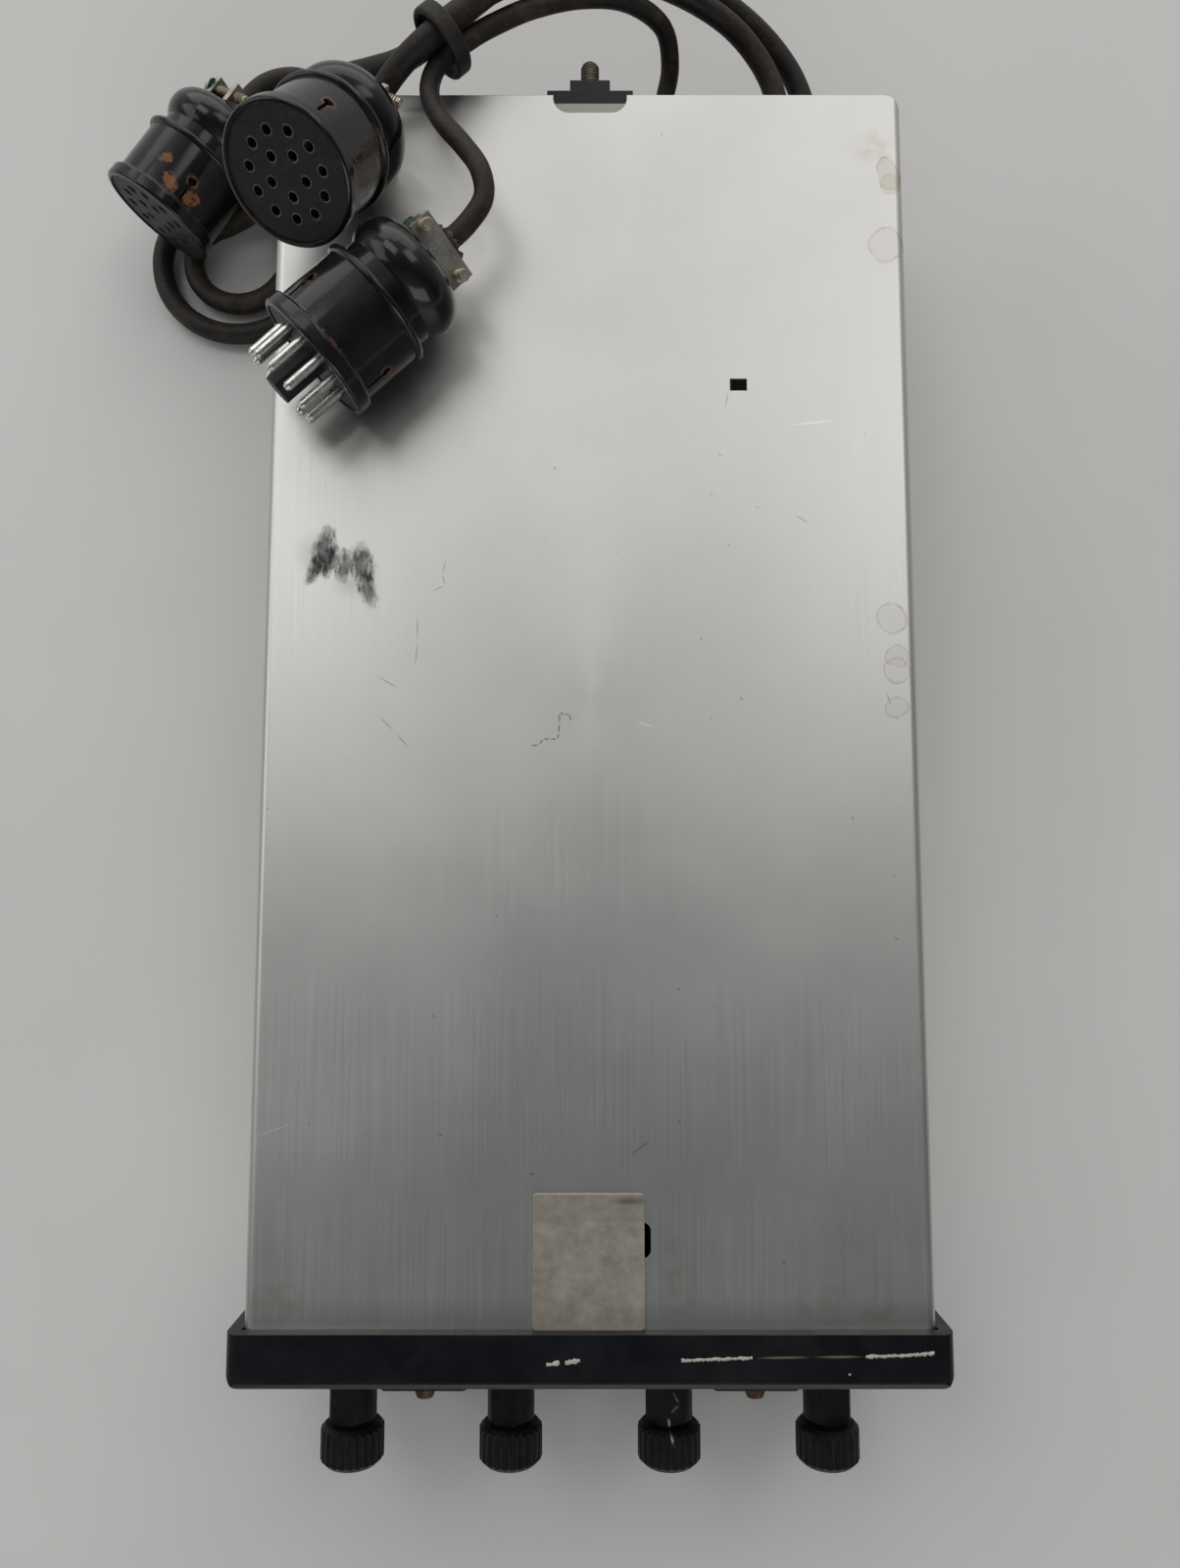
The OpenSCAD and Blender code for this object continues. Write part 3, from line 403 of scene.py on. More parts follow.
# Marks on the shown face of the cover, in millimetres: place, size, and a turn or the strength of a film
STROKES = [
    ((-65, 44.6), (3.4, 7.4), -0.2), ((-67, 40.4), (2.2, 5.2), -0.4), ((-63.6, 42), (2.1, 5), -0.2),
    ((-60.2, 41), (2.4, 5), -0.1), ((-55.6, 41), (3.6, 6.4), 0.15), ((-54.2, 35.4), (2.6, 5.8), 0.1)]
HAZE = [((-68, 44), (5, 6.5)), ((-58.5, 36.5), (5, 4.5))]
DRIPS = [
    ((75.5, 143), (3.2, 4.6), 0.35), ((76, 140), (2.6, 2.8), 0.3), ((74.5, 124), (4.2, 5), 0.14),
    ((73.5, 28), (3.6, 4.2), 0.16), ((74.5, 18.5), (2.8, 2.8), 0.2), ((74, 15), (3.2, 3.4), 0.1),
    ((74, 6), (2.8, 2.9), 0.14)]
DRIP_TURN = 0.3
STAINS = [
    ((53, -132), (9, 5)), ((66, -134), (6, 4)), ((72, 150), (6, 6)), ((-72, -132), (8, 6)),
    ((20, -128), (5, 12))]
CRACK = [
    (-14.3, -3.4), (-12.2, -3.1), (-11.3, -1.7), (-9.6, -1.8), (-7.9, -1.7), (-7.5, -0.4), (-7.4, 2.1),
    (-7.3, 4.7), (-6, 4.1), (-5.2, 4.5), (-4.4, 2.5)]
DARK_SCRATCHES = [
    [(-42, 29), (-41.8, 22), (-42.4, 16)], [(-51, 4), (-47, 0), (-43, -4.5)], [(50, 54), (54, 51.5)],
    [(8.5, -99.5), (15, -95)], [(34.4, 85.6), (33.3, 80.7)], [(78.7, 143), (78.6, 141)],
    [(31.6, 69.2), (32.6, 68.8)], [(-35.2, 42.5), (-36, 39), (-35.4, 36), (-38.6, 34.6)],
    [(-52, 14), (-46, 10.4)], [(71.5, 10), (72.6, 6)]]
PALE_SCRATCHES = [[(48, 76.5), (62, 78)], [(-78.5, -95), (-68, -91.5)], [(11, 2.5), (16, 1)]]

# Scratches of each kind: paths, width in millimetres, strength and colour
SCRATCHES = [
    ([CRACK], 0.55, 0.8, (0.16, 0.14, 0.1)), (DARK_SCRATCHES, 0.45, 0.55, (0.2, 0.18, 0.16)),
    (PALE_SCRATCHES, 0.5, 0.6, (0.86, 0.85, 0.83))]


def cover_metal(name, marked):
    """Bare sheet brushed along its length; the shown face has stains, scratches and a black smudge."""
    s = Shader(name, metallic=1)
    fine = s.noise(1.6, stretch=(1.4, 0.012, 1.4), detail=4, roughness=0.7)
    broad = s.noise(0.2, stretch=(1, 0.02, 1), detail=3)
    cloud = s.noise(0.018, detail=6, roughness=0.6)
    specks = s.ramp(s.noise(0.5, detail=5, roughness=0.7), (0.68, 0.0), (0.77, 1.0))
    tone = s.ramp(cloud, (0.32, (0.572, 0.566, 0.55)), (0.68, (0.624, 0.616, 0.595)))
    tone = s.mix(s.span(broad, 0.3, 0.75, 0, 0.03), tone, (0.45, 0.44, 0.425))
    tone = s.mix(s.times(specks, 0.22), tone, (0.33, 0.31, 0.27))
    dull = s.span(cloud, 0.3, 0.7, 0.36, 0.41)
    if marked:
        for place, size in STAINS:
            patchy = s.span(s.noise(0.3, detail=5), 0.4, 0.65)
            blotch = s.times(s.spot(place, size, soft=0.7), patchy, 0.4)
            tone = s.mix(blotch, tone, (0.4, 0.34, 0.22))
        wavy = s.warped(0.22, 3.4)
        broken = s.span(s.noise(0.5, detail=4), 0.34, 0.6, 0.15, 0.6)
        for place, size, film in DRIPS:
            tone = s.mix(s.times(s.ring(place, size, DRIP_TURN, wavy), broken), tone, (0.27, 0.24, 0.17))
            tone = s.mix(s.times(s.spot(place, size, DRIP_TURN, 0.2, wavy), film), tone, (0.4, 0.36, 0.28))
        pits = s.ramp(s.noise(0.42, detail=3, roughness=0.6), (0.715, 0.0), (0.745, 1.0))
        tone = s.mix(s.times(pits, 0.6), tone, (0.2, 0.18, 0.14))
        streaks = s.noise(1.3, stretch=(1, 0.28, 1), turn=0.12, detail=7, roughness=0.72)
        ragged = s.warped(0.5, 2.6)
        for place, size in HAZE:
            tone = s.mix(s.times(s.spot(place, size, soft=0.95), 0.3), tone, (0.16, 0.155, 0.145))
        for place, size, turn in STROKES:
            stroke = s.times(s.spot(place, size, turn, 0.85, ragged), s.span(streaks, 0.25, 0.6))
            worn = s.span(streaks, 0.3, 0.62, 0.5, 1)
            smudge = s.times(s.ramp(stroke, (0.02, 0.0), (0.42, 1.0)), worn)
            tone = s.mix(s.times(smudge, 0.85), tone, (0.05, 0.051, 0.049))
            dull = s.maths("ADD", dull, s.times(smudge, 0.2))
        for paths, width, strength, ink in SCRATCHES:
            for path in paths:
                for start, end in zip(path, path[1:]):
                    tone = s.mix(s.times(s.line(start, end, width), strength), tone, ink)
    s.colour(tone)
    s.rough(s.maths("ADD", dull, s.span(fine, 0.3, 0.7, 0, 0.06)))
    s.surface.inputs["Anisotropic"].default_value = 0.25
    s.bump(fine, 0.012, 0.5)
    return s.material


# The brown middle of the long scratch on the upper edge of the panel
PANEL_SCRATCH = [(37, -142.7), (50, -142.5), (62, -142.4)]
SCRATCH_W = 0.7


def black_paint(name, tint, gloss, dust=0.2, rust=0.0, scratch=(), bare_before=None):
    """Sprayed black paint with a fine skin, dust, handling marks and a little rust."""
    s = Shader(name, coat=0.1, specular=0.25)
    s.surface.inputs["Coat Roughness"].default_value = 0.2
    skin = s.noise(2.2, detail=2)
    haze = s.noise(0.09, detail=6, roughness=0.65)
    grit = s.ramp(s.noise(1.3, detail=6, roughness=0.75), (0.65, 0.0), (0.74, 1.0))
    tone = s.mix(s.span(haze, 0.4, 0.8), tint, tuple(1.6 * c + 0.002 for c in tint))
    tone = s.mix(s.times(grit, dust), tone, (0.1, 0.09, 0.078))
    tone = s.mix(s.times(s.edges(0.4), s.span(haze, 0.35, 0.65), 0.35), tone, (0.12, 0.115, 0.11))
    if rust:
        worn = s.times(s.ramp(s.noise(0.16, detail=7, roughness=0.7), (0.57, 0.0), (0.66, 1.0)), rust)
        tone = s.mix(worn, tone, (0.14, 0.06, 0.026))
    upper = s.span(s.axis("Z"), PANEL_TOP - 4, PANEL_TOP - 3)
    for start, end in zip(scratch, scratch[1:]):
        tone = s.mix(s.times(s.line(start, end, SCRATCH_W), upper), tone, (0.13, 0.115, 0.075))
    if bare_before:
        tone = s.mix(s.span(s.axis("Y"), bare_before, bare_before - 0.25), tone, (0.4, 0.39, 0.35))
    s.colour(tone)
    s.rough(s.span(haze, 0.3, 0.75, gloss, gloss + 0.2))
    s.bump(skin, 0.02, 0.35)
    return s.material


# What is left of the white line, and a bluish patch, on the third stack of knobs, above a height in
# millimetres
KNOB_LINE = [(19.1, -165.6), (19.4, -168.4), (20.6, -172)]
KNOB_BLUISH_PATCH = [(20.2, -159.5), (21.8, -162.6), (19.6, -164.6)]
KNOB_MARK_W = 0.8
KNOB_MARK_Z = 33


def bakelite(name, line=(), bluish_patch=()):
    """Dark brown moulding; flute crests and edges are rubbed to a lighter tone."""
    s = Shader(name, specular=0.25)
    marble = s.noise(0.25, detail=6, roughness=0.6)
    rub = s.ramp(s.noise(0.9, stretch=(1, 0.25, 1), detail=5, roughness=0.7), (0.42, 0.0), (0.62, 1.0))
    crumbs = s.ramp(s.noise(2.4, detail=4), (0.68, 0.0), (0.76, 1.0))
    tone = s.ramp(marble, (0.35, (0.0045, 0.004, 0.0038)), (0.7, (0.012, 0.009, 0.0075)))
    tone = s.mix(s.times(s.edges(0.35), rub, 0.55), tone, (0.17, 0.15, 0.13))
    tone = s.mix(s.times(crumbs, 0.2), tone, (0.12, 0.105, 0.09))
    upper = s.span(s.axis("Z"), KNOB_MARK_Z, KNOB_MARK_Z + 1)
    # The white line and a bluish patch, drawn on the upper side of the knob
    for path, ink in ((line, (0.5, 0.49, 0.46)), (bluish_patch, (0.13, 0.15, 0.19))):
        for start, end in zip(path, path[1:]):
            broken = s.span(s.noise(1.1, detail=3), 0.36, 0.5)
            tone = s.mix(s.times(s.line(start, end, KNOB_MARK_W), upper, broken), tone, ink)
    s.colour(tone)
    s.rough(s.span(marble, 0.3, 0.7, 0.36, 0.56))
    s.bump(s.noise(1.6, detail=4), 0.03, 0.4)
    return s.material


def rubber(name, dust):
    """Aged black rubber, brown with dust and scuffed along its length."""
    s = Shader(name, specular=0.3)
    dirt = s.noise(0.12, detail=7, roughness=0.68)
    scuff = s.ramp(s.noise(0.55, detail=6, roughness=0.75), (0.56, 0.0), (0.72, 1.0))
    clean, dull, brown = (0.009, 0.008, 0.0075), (0.022, 0.017, 0.0135), (0.085, 0.056, 0.034)
    tone = s.ramp(dirt, (0.34, clean), (0.54, dull), (0.74, brown))
    tone = s.mix(s.times(scuff, dust), tone, (0.13, 0.1, 0.075))
    s.colour(tone)
    s.rough(s.span(dirt, 0.3, 0.7, 0.42, 0.72))
    s.bump(s.noise(1.1, detail=6, roughness=0.7), 0.08, 0.5)
    return s.material


# Bare patches of the connector shells: turn in degrees and distance from the rim in millimetres
SIDE_PATCHES = [(187, 11), (201, 7), (206, 6), (226, 6.2), (231, 7.5)]
FRONT_PATCHES = [(258, 8), (270, 12), (250, 16), (280, 7), (266, 17)]


def shell_paint(name, socket, patches, patch_tone, patch_size):
    """Gloss black enamel on a connector shell, rusty in its groove and slots and worn in places."""
    s = Shader(name, coat=0.3, specular=0.25)
    s.surface.inputs["Coat Roughness"].default_value = 0.08
    haze = s.noise(0.1, detail=6, roughness=0.65)
    torn = s.noise(0.55, detail=7, roughness=0.7)
    flecks = s.ramp(s.noise(0.9, detail=6, roughness=0.75), (0.69, 0.0), (0.74, 1.0))
    tone = s.ramp(haze, (0.35, (0.0035, 0.0035, 0.0045)), (0.7, (0.009, 0.0085, 0.009)))
    places = [on_shell(socket, turn, along) for turn, along in patches]
    patch = s.times(s.near(places, patch_size, 0.9), s.span(torn, 0.34, 0.6))
    worn = s.ramp(patch, (0.3, 0.0), (0.37, 1.0))
    tone = s.mix(worn, tone, patch_tone)
    ends = [on_shell(socket, SLOT_TURN[socket] + 120 * k, SLOT_END) for k in range(3)]
    tone = s.mix(s.times(s.near(ends, 2.3, 0.5), s.span(torn, 0.42, 0.55)), tone, (0.16, 0.075, 0.03))
    place = connector(socket, 0)
    along = s.depth(tuple(place.translation / MM), tuple(place.col[2][:3]))
    groove = s.times(s.span(along, RIM_END - 0.5, RIM_END), s.span(along, RIM_END + 0.7, RIM_END + 0.3))
    tone = s.mix(s.times(groove, s.span(torn, 0.45, 0.56), 0.8), tone, (0.15, 0.08, 0.04))
    bare = s.times(s.edges(0.35), s.span(torn, 0.42, 0.6))
    tone = s.mix(s.times(bare, 0.6), tone, (0.17, 0.14, 0.115))
    tone = s.mix(s.times(flecks, 0.3), tone, (0.14, 0.115, 0.09))
    s.colour(tone)
    s.rough(s.maths("ADD", s.span(haze, 0.3, 0.75, 0.14, 0.3), s.times(worn, 0.3)))
    s.bump(s.maths("SUBTRACT", s.noise(0.8, detail=3), s.times(worn, 0.35)), 0.05, 0.45)
    return s.material


def moulded_black():
    """Matt phenolic of the connector inserts, dusty in the hollows, with a painted highlight lightening its
    edges and hole rims.
    """
    s = Shader("insert_black", specular=0.3)
    dust = s.noise(0.45, detail=7, roughness=0.7)
    clean, dull, dusty = (0.009, 0.009, 0.009), (0.017, 0.0165, 0.016), (0.05, 0.046, 0.042)
    tone = s.ramp(dust, (0.35, clean), (0.6, dull), (0.8, dusty))
    # Painted highlight: edges and hole rims of the insert are lightened evenly
    s.colour(s.mix(s.times(s.edges(0.3), 0.4), tone, (0.075, 0.07, 0.065)))
    s.rough(s.span(dust, 0.3, 0.7, 0.42, 0.6))
    s.bump(s.noise(1.5, detail=4), 0.03, 0.4)
    return s.material


BROWN = (0.16, 0.11, 0.06)


def plated(name, tone, dark, gloss, stain=BROWN, stained=0.3, green=(), soft_edge=SOFT_EDGE):
    """Plated or turned metal with tarnish, and green corrosion near some points."""
    s = Shader(name, metallic=1)
    cloud = s.noise(0.35, detail=6, roughness=0.65)
    lines = s.noise(2.5, stretch=(1, 0.3, 1), detail=3)
    colour = s.ramp(cloud, (0.3, dark), (0.65, tone))
    dirt = s.ramp(s.noise(0.28, detail=7, roughness=0.7), (0.52, 0.0), (0.68, 1.0))
    colour = s.mix(s.times(dirt, stained), colour, stain)
    if green:
        salts = s.span(s.noise(0.5, detail=5), 0.36, 0.52)
        colour = s.mix(s.times(s.near(green, 2.9, 0.4), salts), colour, (0.012, 0.1, 0.062))
    s.colour(colour)
    s.rough(s.maths("ADD", s.span(lines, 0.3, 0.7, gloss, gloss + 0.12), s.times(dirt, stained)))
    s.bump(lines, 0.015, 0.4, soft_edge)
    return s.material


def plain(name, low, high, gloss, scale=0.4, metallic=0.0):
    """Two tones of one colour, mottled."""
    s = Shader(name, metallic=metallic)
    mottle = s.noise(scale, detail=6, roughness=0.65)
    s.colour(s.ramp(mottle, (0.32, low), (0.7, high)))
    s.rough(s.span(mottle, 0.3, 0.7, gloss, gloss + 0.15))
    s.bump(mottle, 0.03, 0.4)
    return s.material


def glass(name):
    """Clear, a little wavy and dusty."""
    s = Shader(name)
    s.colour((0.9, 0.94, 0.93))
    s.surface.inputs["Transmission Weight"].default_value = 1
    s.surface.inputs["IOR"].default_value = 1.49
    s.rough(s.span(s.noise(0.6, detail=5), 0.45, 0.75, 0.02, 0.2))
    s.bump(s.noise(0.3, detail=3), 0.004, 0.3)
    return s.material


def plate_metal():
    """Thin blank plate, dusty beige, with a painted highlight lightening all its edges and grime near its
    borders.
    """
    s = Shader("plate_metal", metallic=0.55)
    right, rear = (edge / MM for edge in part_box("access_plate")[1][:2])
    grime = s.noise(0.2, detail=7, roughness=0.68)
    tone = s.ramp(grime, (0.3, (0.31, 0.277, 0.23)), (0.7, (0.45, 0.415, 0.36)))
    band = s.span(s.axis("Y"), rear - 6.5, rear - 6, 0, 0.3)
    tone = s.mix(band, tone, (0.24, 0.205, 0.165))
    corner = s.spot((right - 3.5, rear - 1.6), (5, 1.1), soft=0.8)
    tone = s.mix(s.times(corner, 0.6), tone, (0.09, 0.075, 0.06))
    # Painted highlight: every sharp edge of the plate is lightened evenly to near white
    tone = s.mix(s.times(s.edges(0.35), 0.5), tone, (0.8, 0.77, 0.72))
    s.colour(tone)
    s.rough(s.span(grime, 0.3, 0.7, 0.4, 0.58))
    s.bump(s.noise(0.7, detail=5), 0.03, 0.4)
    return s.material


# Materials by slot, and those of single nodes; green salts sit under the heads of the clamp screws
UNDER_HEADS = [tuple((place @ mm(0, 0, 4)) / MM) for place in clamp_screw_places()]
MATERIALS = {
    "panel_paint": black_paint(
        "panel_paint", (0.0032, 0.0038, 0.0055), 0.28, dust=0.08, scratch=PANEL_SCRATCH),
    "cover_metal": cover_metal("cover_metal", False),
    "inner_metal": plain("inner_metal", (0.5, 0.5, 0.5), (0.62, 0.62, 0.62), 0.42, metallic=1.0),
    "rear_paint": black_paint("rear_paint", (0.006, 0.006, 0.007), 0.38, rust=0.2),
    "dark_steel": plated("dark_steel", (0.27, 0.235, 0.2), (0.13, 0.105, 0.085), 0.42, stained=0.4),
    "plate_metal": plate_metal(),
    "nickel": plated("nickel", (0.5, 0.48, 0.44), (0.33, 0.31, 0.27), 0.34, green=UNDER_HEADS),
    "escutcheon_paint": black_paint("escutcheon_paint", (0.006, 0.006, 0.007), 0.3),
    "rusty_steel": plated(
        "rusty_steel", (0.12, 0.066, 0.044), (0.055, 0.032, 0.022), 0.5, (0.1, 0.05, 0.028), stained=0.5),
    "window_glass": glass("window_glass"),
    "tube_glass": glass("tube_glass"),
    "knob_bakelite": bakelite("knob_bakelite"),
    "shaft_brass": plated("shaft_brass", (0.62, 0.45, 0.2), (0.42, 0.29, 0.12), 0.28),
    "shaft_steel": plated("shaft_steel", (0.58, 0.57, 0.56), (0.42, 0.41, 0.4), 0.26),
    "unit_metal": plated("unit_metal", (0.5, 0.5, 0.47), (0.36, 0.36, 0.33), 0.36),
    "dial_face": plain("dial_face", (0.68, 0.63, 0.48), (0.8, 0.76, 0.62), 0.45, scale=0.25),
    "phenolic_brown": plain("phenolic_brown", (0.16, 0.09, 0.045), (0.25, 0.15, 0.08), 0.45),
    "core_iron": plain("core_iron", (0.045, 0.04, 0.037), (0.1, 0.09, 0.08), 0.4),
    "rubber": rubber("rubber", 0.3),
    "shell_paint": shell_paint("shell_paint", "plug_contacts", [], (0.1, 0.05, 0.03), 5),
    "insert_black": moulded_black(),
    "pin_plate": plated("pin_plate", (0.74, 0.73, 0.7), (0.5, 0.49, 0.46), 0.16, stained=0.25),
    "green_nickel": plated(
        "green_nickel", (0.62, 0.58, 0.49), (0.36, 0.32, 0.25), 0.34, stained=0.55, green=UNDER_HEADS),
}
OWN_MATERIALS = {
    "top_cover": cover_metal("marked_cover", True),
    "mounting_stud": plated("stud_steel", (0.13, 0.11, 0.09), (0.07, 0.058, 0.048), 0.45),
    "stud_bracket": black_paint("bracket_paint", (0.004, 0.004, 0.005), 0.4, bare_before=COVER_REAR - 1.3),
    "side_shell": shell_paint("side_shell_paint", "side_socket", SIDE_PATCHES, (0.2, 0.072, 0.026), 3.2),
    "front_shell": shell_paint(
        "front_shell_paint", "front_socket", FRONT_PATCHES, (0.045, 0.03, 0.021), 8),
    "channel_knob": bakelite("channel_bakelite", KNOB_LINE, KNOB_BLUISH_PATCH),
    "mode_knob": bakelite("mode_bakelite", KNOB_LINE),
}


def paint(thing, material):
    if not thing.material_slots:
        thing.data.materials.append(material)
    for slot in thing.material_slots:
        slot.material = material


for part in frame["record"]["subparts"]:
    usual = MATERIALS[part["material_slot"]]
    paint(frame["nodes"][part["node"]], OWN_MATERIALS.get(part["node"], usual))
for cord in cords:
    paint(cord, MATERIALS["rubber"])


def add_piece(name, mesh, body, material):
    bmesh.ops.recalc_face_normals(mesh, faces=mesh.faces[:])
    made = bpy.data.meshes.new(name)
    mesh.to_mesh(made)
    mesh.free()
    piece = bpy.data.objects.new(name, made)
    bpy.context.collection.objects.link(piece)
    paint(piece, material)
    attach(piece, body)


def add_rows(mesh, rows, closed=False):
    """Faces between rows of points, each row a loop; open rows are capped at both ends."""
    loops = [[mesh.verts.new(point) for point in row] for row in rows]
    if closed:
        loops.append(loops[0])
    else:
        mesh.faces.new(loops[0])
        mesh.faces.new(loops[-1])
    for a, b in zip(loops, loops[1:]):
        for i in range(len(a)):
            j = (i + 1) % len(a)
            mesh.faces.new((a[i], a[j], b[j], b[i]))


# Screw threads, in millimetres: runs are from and to along a screw, heads are those of the clamp screws
STUD_R = MOUNTS["rear_stud"]["dims"]["r_mm"]
STUD_L = MOUNTS["rear_stud"]["dims"]["length_mm"]
STUD_PITCH = 0.8
SCREW_PITCH = 0.65
TURN_STEPS = 20
STUD_START = 0.4
SCREW_RUNS = ((-8.8, -5), (-2.6, 2.6))
HEAD_R = 2.3
HEAD_AT = 4.6
CRUST_STEPS = 28


def round_point(place, reach, angle, along):
    """A point round a place's Z, in metres, from sizes in millimetres."""
    return place @ mm(reach * math.cos(angle), reach * math.sin(angle), along)


def add_thread(mesh, place, radius, pitch, low, high):
    """A helical ridge on a shank along a place's Z, running out at both ends."""
    steps = round((high - low) / pitch * TURN_STEPS)
    rows = []
    for k in range(steps + 1):
        turns = k / TURN_STEPS
        angle = 2 * math.pi * turns
        rise = 0.4 * pitch * min(1, 2 * turns, 2 * (steps - k) / TURN_STEPS)
        row = []
        for out, shift in ((-0.08, -0.4), (rise, -0.06), (rise, 0.06), (-0.08, 0.4)):
            row.append(round_point(place, radius + out, angle, low + pitch * (turns + shift)))
        rows.append(row)
    add_rows(mesh, rows)


def make_threads():
    mesh = bmesh.new()
    stud = Matrix.Translation(MOUNTS["rear_stud"]["pos_m"]) @ Matrix.Rotation(-math.pi / 2, 4, "X")
    add_thread(mesh, stud, STUD_R, STUD_PITCH, STUD_START - STUD_L / 2, STUD_L / 2)
    add_piece("stud_thread", mesh, "case", THREAD_STEEL_PAINTED_HIGHLIGHT)
    mesh = bmesh.new()
    for place in clamp_screw_places():
        for low, high in SCREW_RUNS:
            add_thread(mesh, place, CLAMP_SCREW_R, SCREW_PITCH, low, high)
    add_piece("clamp_screw_threads", mesh, "case", THREAD_BRASS)


# Spring contacts of the sockets, in millimetres: gap to the hole, wall, and run below the face of the insert
SLEEVE_STEPS = 20
SLEEVE_GAP = 0.03
SLEEVE_WALL = 0.31
SLEEVE_RUN = (0.2, 6)


def add_sleeve(mesh, place, hole):
    """A spring contact in a hole along a place's Z."""
    outer = hole - SLEEVE_GAP
    inner = outer - SLEEVE_WALL
    low, high = SLEEVE_RUN
    profile = ((inner, high), (inner, low), (outer, low), (outer, high))
    rows = []
    for k in range(SLEEVE_STEPS):
        angle = 2 * math.pi * k / SLEEVE_STEPS
        rows.append([round_point(place, reach, angle, along) for reach, along in profile])
    add_rows(mesh, rows, closed=True)


def make_contacts(socket, name):
    """Spring contacts a little below the face of a socket's insert."""
    mesh = bmesh.new()
    dims = MOUNTS[socket]["dims"]
    ring = dims["pcd_mm"] / 2
    count = dims["count"]
    turns = [(ring, 360 * k / count) for k in range(count)]
    turns += [(ring / 2, 360 * k / INNER_CONTACTS + INNER_TURN) for k in range(INNER_CONTACTS)]
    for reach, turn in turns:
        shift = Matrix.Translation(mm(reach, 0, FACE_DEPTH[socket]))
        add_sleeve(mesh, connector(socket, CONTACT_TURN + turn) @ shift, dims["hole_r_mm"])
    add_piece(name, mesh, "case", CONTACT_METAL)


def make_verdigris():
    """Green crust round the heads of the clamp screws."""
    mesh = bmesh.new()
    for place in clamp_screw_places():
        rows = []
        for k in range(CRUST_STEPS):
            angle = 2 * math.pi * k / CRUST_STEPS
            wide = random.uniform(0.1, 0.4)
            high = random.uniform(0.2, 1)
            row = []
            for out, up in ((-0.1, -0.05), (0.1 + wide, -0.05), (0.05 + wide, 0.6 * high), (-0.1, high)):
                row.append(round_point(place, HEAD_R + out, angle, HEAD_AT + up))
            rows.append(row)
        add_rows(mesh, rows, closed=True)
    add_piece("verdigris", mesh, "case", VERDIGRIS)


# Thin pieces have sharper edges than the rest
SHARP = 0.04
CONTACT_METAL = plated("contact_metal", (0.26, 0.25, 0.24), (0.12, 0.115, 0.11), 0.36, soft_edge=0.05)
# Painted highlight: the stud's thread ridges are much lighter than the stud's own dark steel, so the thread
# lines show
THREAD_STEEL_PAINTED_HIGHLIGHT = plated("thread_steel_painted_highlight", (0.4, 0.36, 0.3), (0.24, 0.21, 0.17), 0.4, soft_edge=SHARP)
THREAD_BRASS = plated(
    "thread_brass", (0.42, 0.36, 0.26), (0.22, 0.17, 0.11), 0.42, stained=0.5, soft_edge=SHARP)
VERDIGRIS = plain("verdigris", (0.006, 0.06, 0.04), (0.05, 0.2, 0.14), 0.8, scale=1.4)
make_threads()
make_verdigris()
make_contacts("front_socket", "front_contacts")
make_contacts("side_socket", "side_contacts")


# Perished rubber crumbling out of the plug's clamp
CRUMBS = 44


def make_frayed_rubber():
    mesh = bmesh.new()
    place = connector("plug_contacts", 0)
    rows = []
    for k in range(CRUMBS):
        angle = 2 * math.pi * k / CRUMBS
        tear = random.uniform(0.5, 2.3)
        flare = random.uniform(0.1, 1.1)
        profile = (
            (0.05, 0.05), (1.5, 0.05), (1.6 + flare, 0.3 + 0.4 * tear), (0.9 + flare, tear),
            (0.3, 0.7 * tear))
        rows.append([round_point(place, THIN_R + out, angle, CLAMP_END + up) for out, up in profile])
    add_rows(mesh, rows, closed=True)
    add_piece("frayed_rubber", mesh, "case", FRAYED)


FRAYED = plain("frayed_rubber", (0.035, 0.02, 0.012), (0.15, 0.085, 0.045), 0.75, scale=1.2)
make_frayed_rubber()

# Flakes of paint and bare primer on the upper edge of the panel: middle line and width
FLAKES = [
    ([(-9.8, -144.2), (-8, -143.9), (-6.3, -143.6)], 1.6),
    ([(-5.6, -143.6), (-3.6, -143.4), (-1.8, -143.2)], 1.5),
    ([(20.5, -143.2), (28, -143), (37, -142.7)], 1.15),
    ([(62, -142.4), (70, -142.2), (78, -141.6)], 1.2),
    ([(58.1, -146.1), (59, -146.5)], 0.9)]
FLAKE_STEP = 0.5
FLAKE_SINK = 0.03


def make_flakes():
    mesh = bmesh.new()
    base = PANEL_TOP - FLAKE_SINK
    for path, width in FLAKES:
        rows = []
        for start, end in zip(path, path[1:]):
            run = Vector(end) - Vector(start)
            across = Vector((-run.y, run.x)).normalized() * width / 2
            steps = max(2, round(run.length / FLAKE_STEP))
            for k in range(steps):
                middle = Vector(start) + run * k / steps
                left = middle + across * random.uniform(0.45, 1.1)
                right = middle - across * random.uniform(0.45, 1.1)
                crest = PANEL_TOP + random.uniform(0.05, 0.2)
                rows.append([mm(*left, base), mm(*middle, crest), mm(*right, base)])
        add_rows(mesh, rows)
    add_piece("paint_flakes", mesh, "case", PRIMER)


PRIMER = plain("primer", (0.36, 0.33, 0.26), (0.56, 0.54, 0.48), 0.6, scale=0.9)
make_flakes()

# Figures and ticks on the dials: radii and heights in millimetres, turns in degrees from the window
FIGURE_REACH = 9.6
FIGURE_SIZE = 4.05
TICK_REACH = 13.1
TICK = (0.28, 1.9)
FINE_TICK_REACH = 13.5
FINE_TICK = (0.18, 1.1)
FINE_TICKS = 5
RECEIVER_TURN = 180
RECEIVER_FIGURES = 11
CHANNEL_TURN = 300
CHANNEL_FIGURES = 9


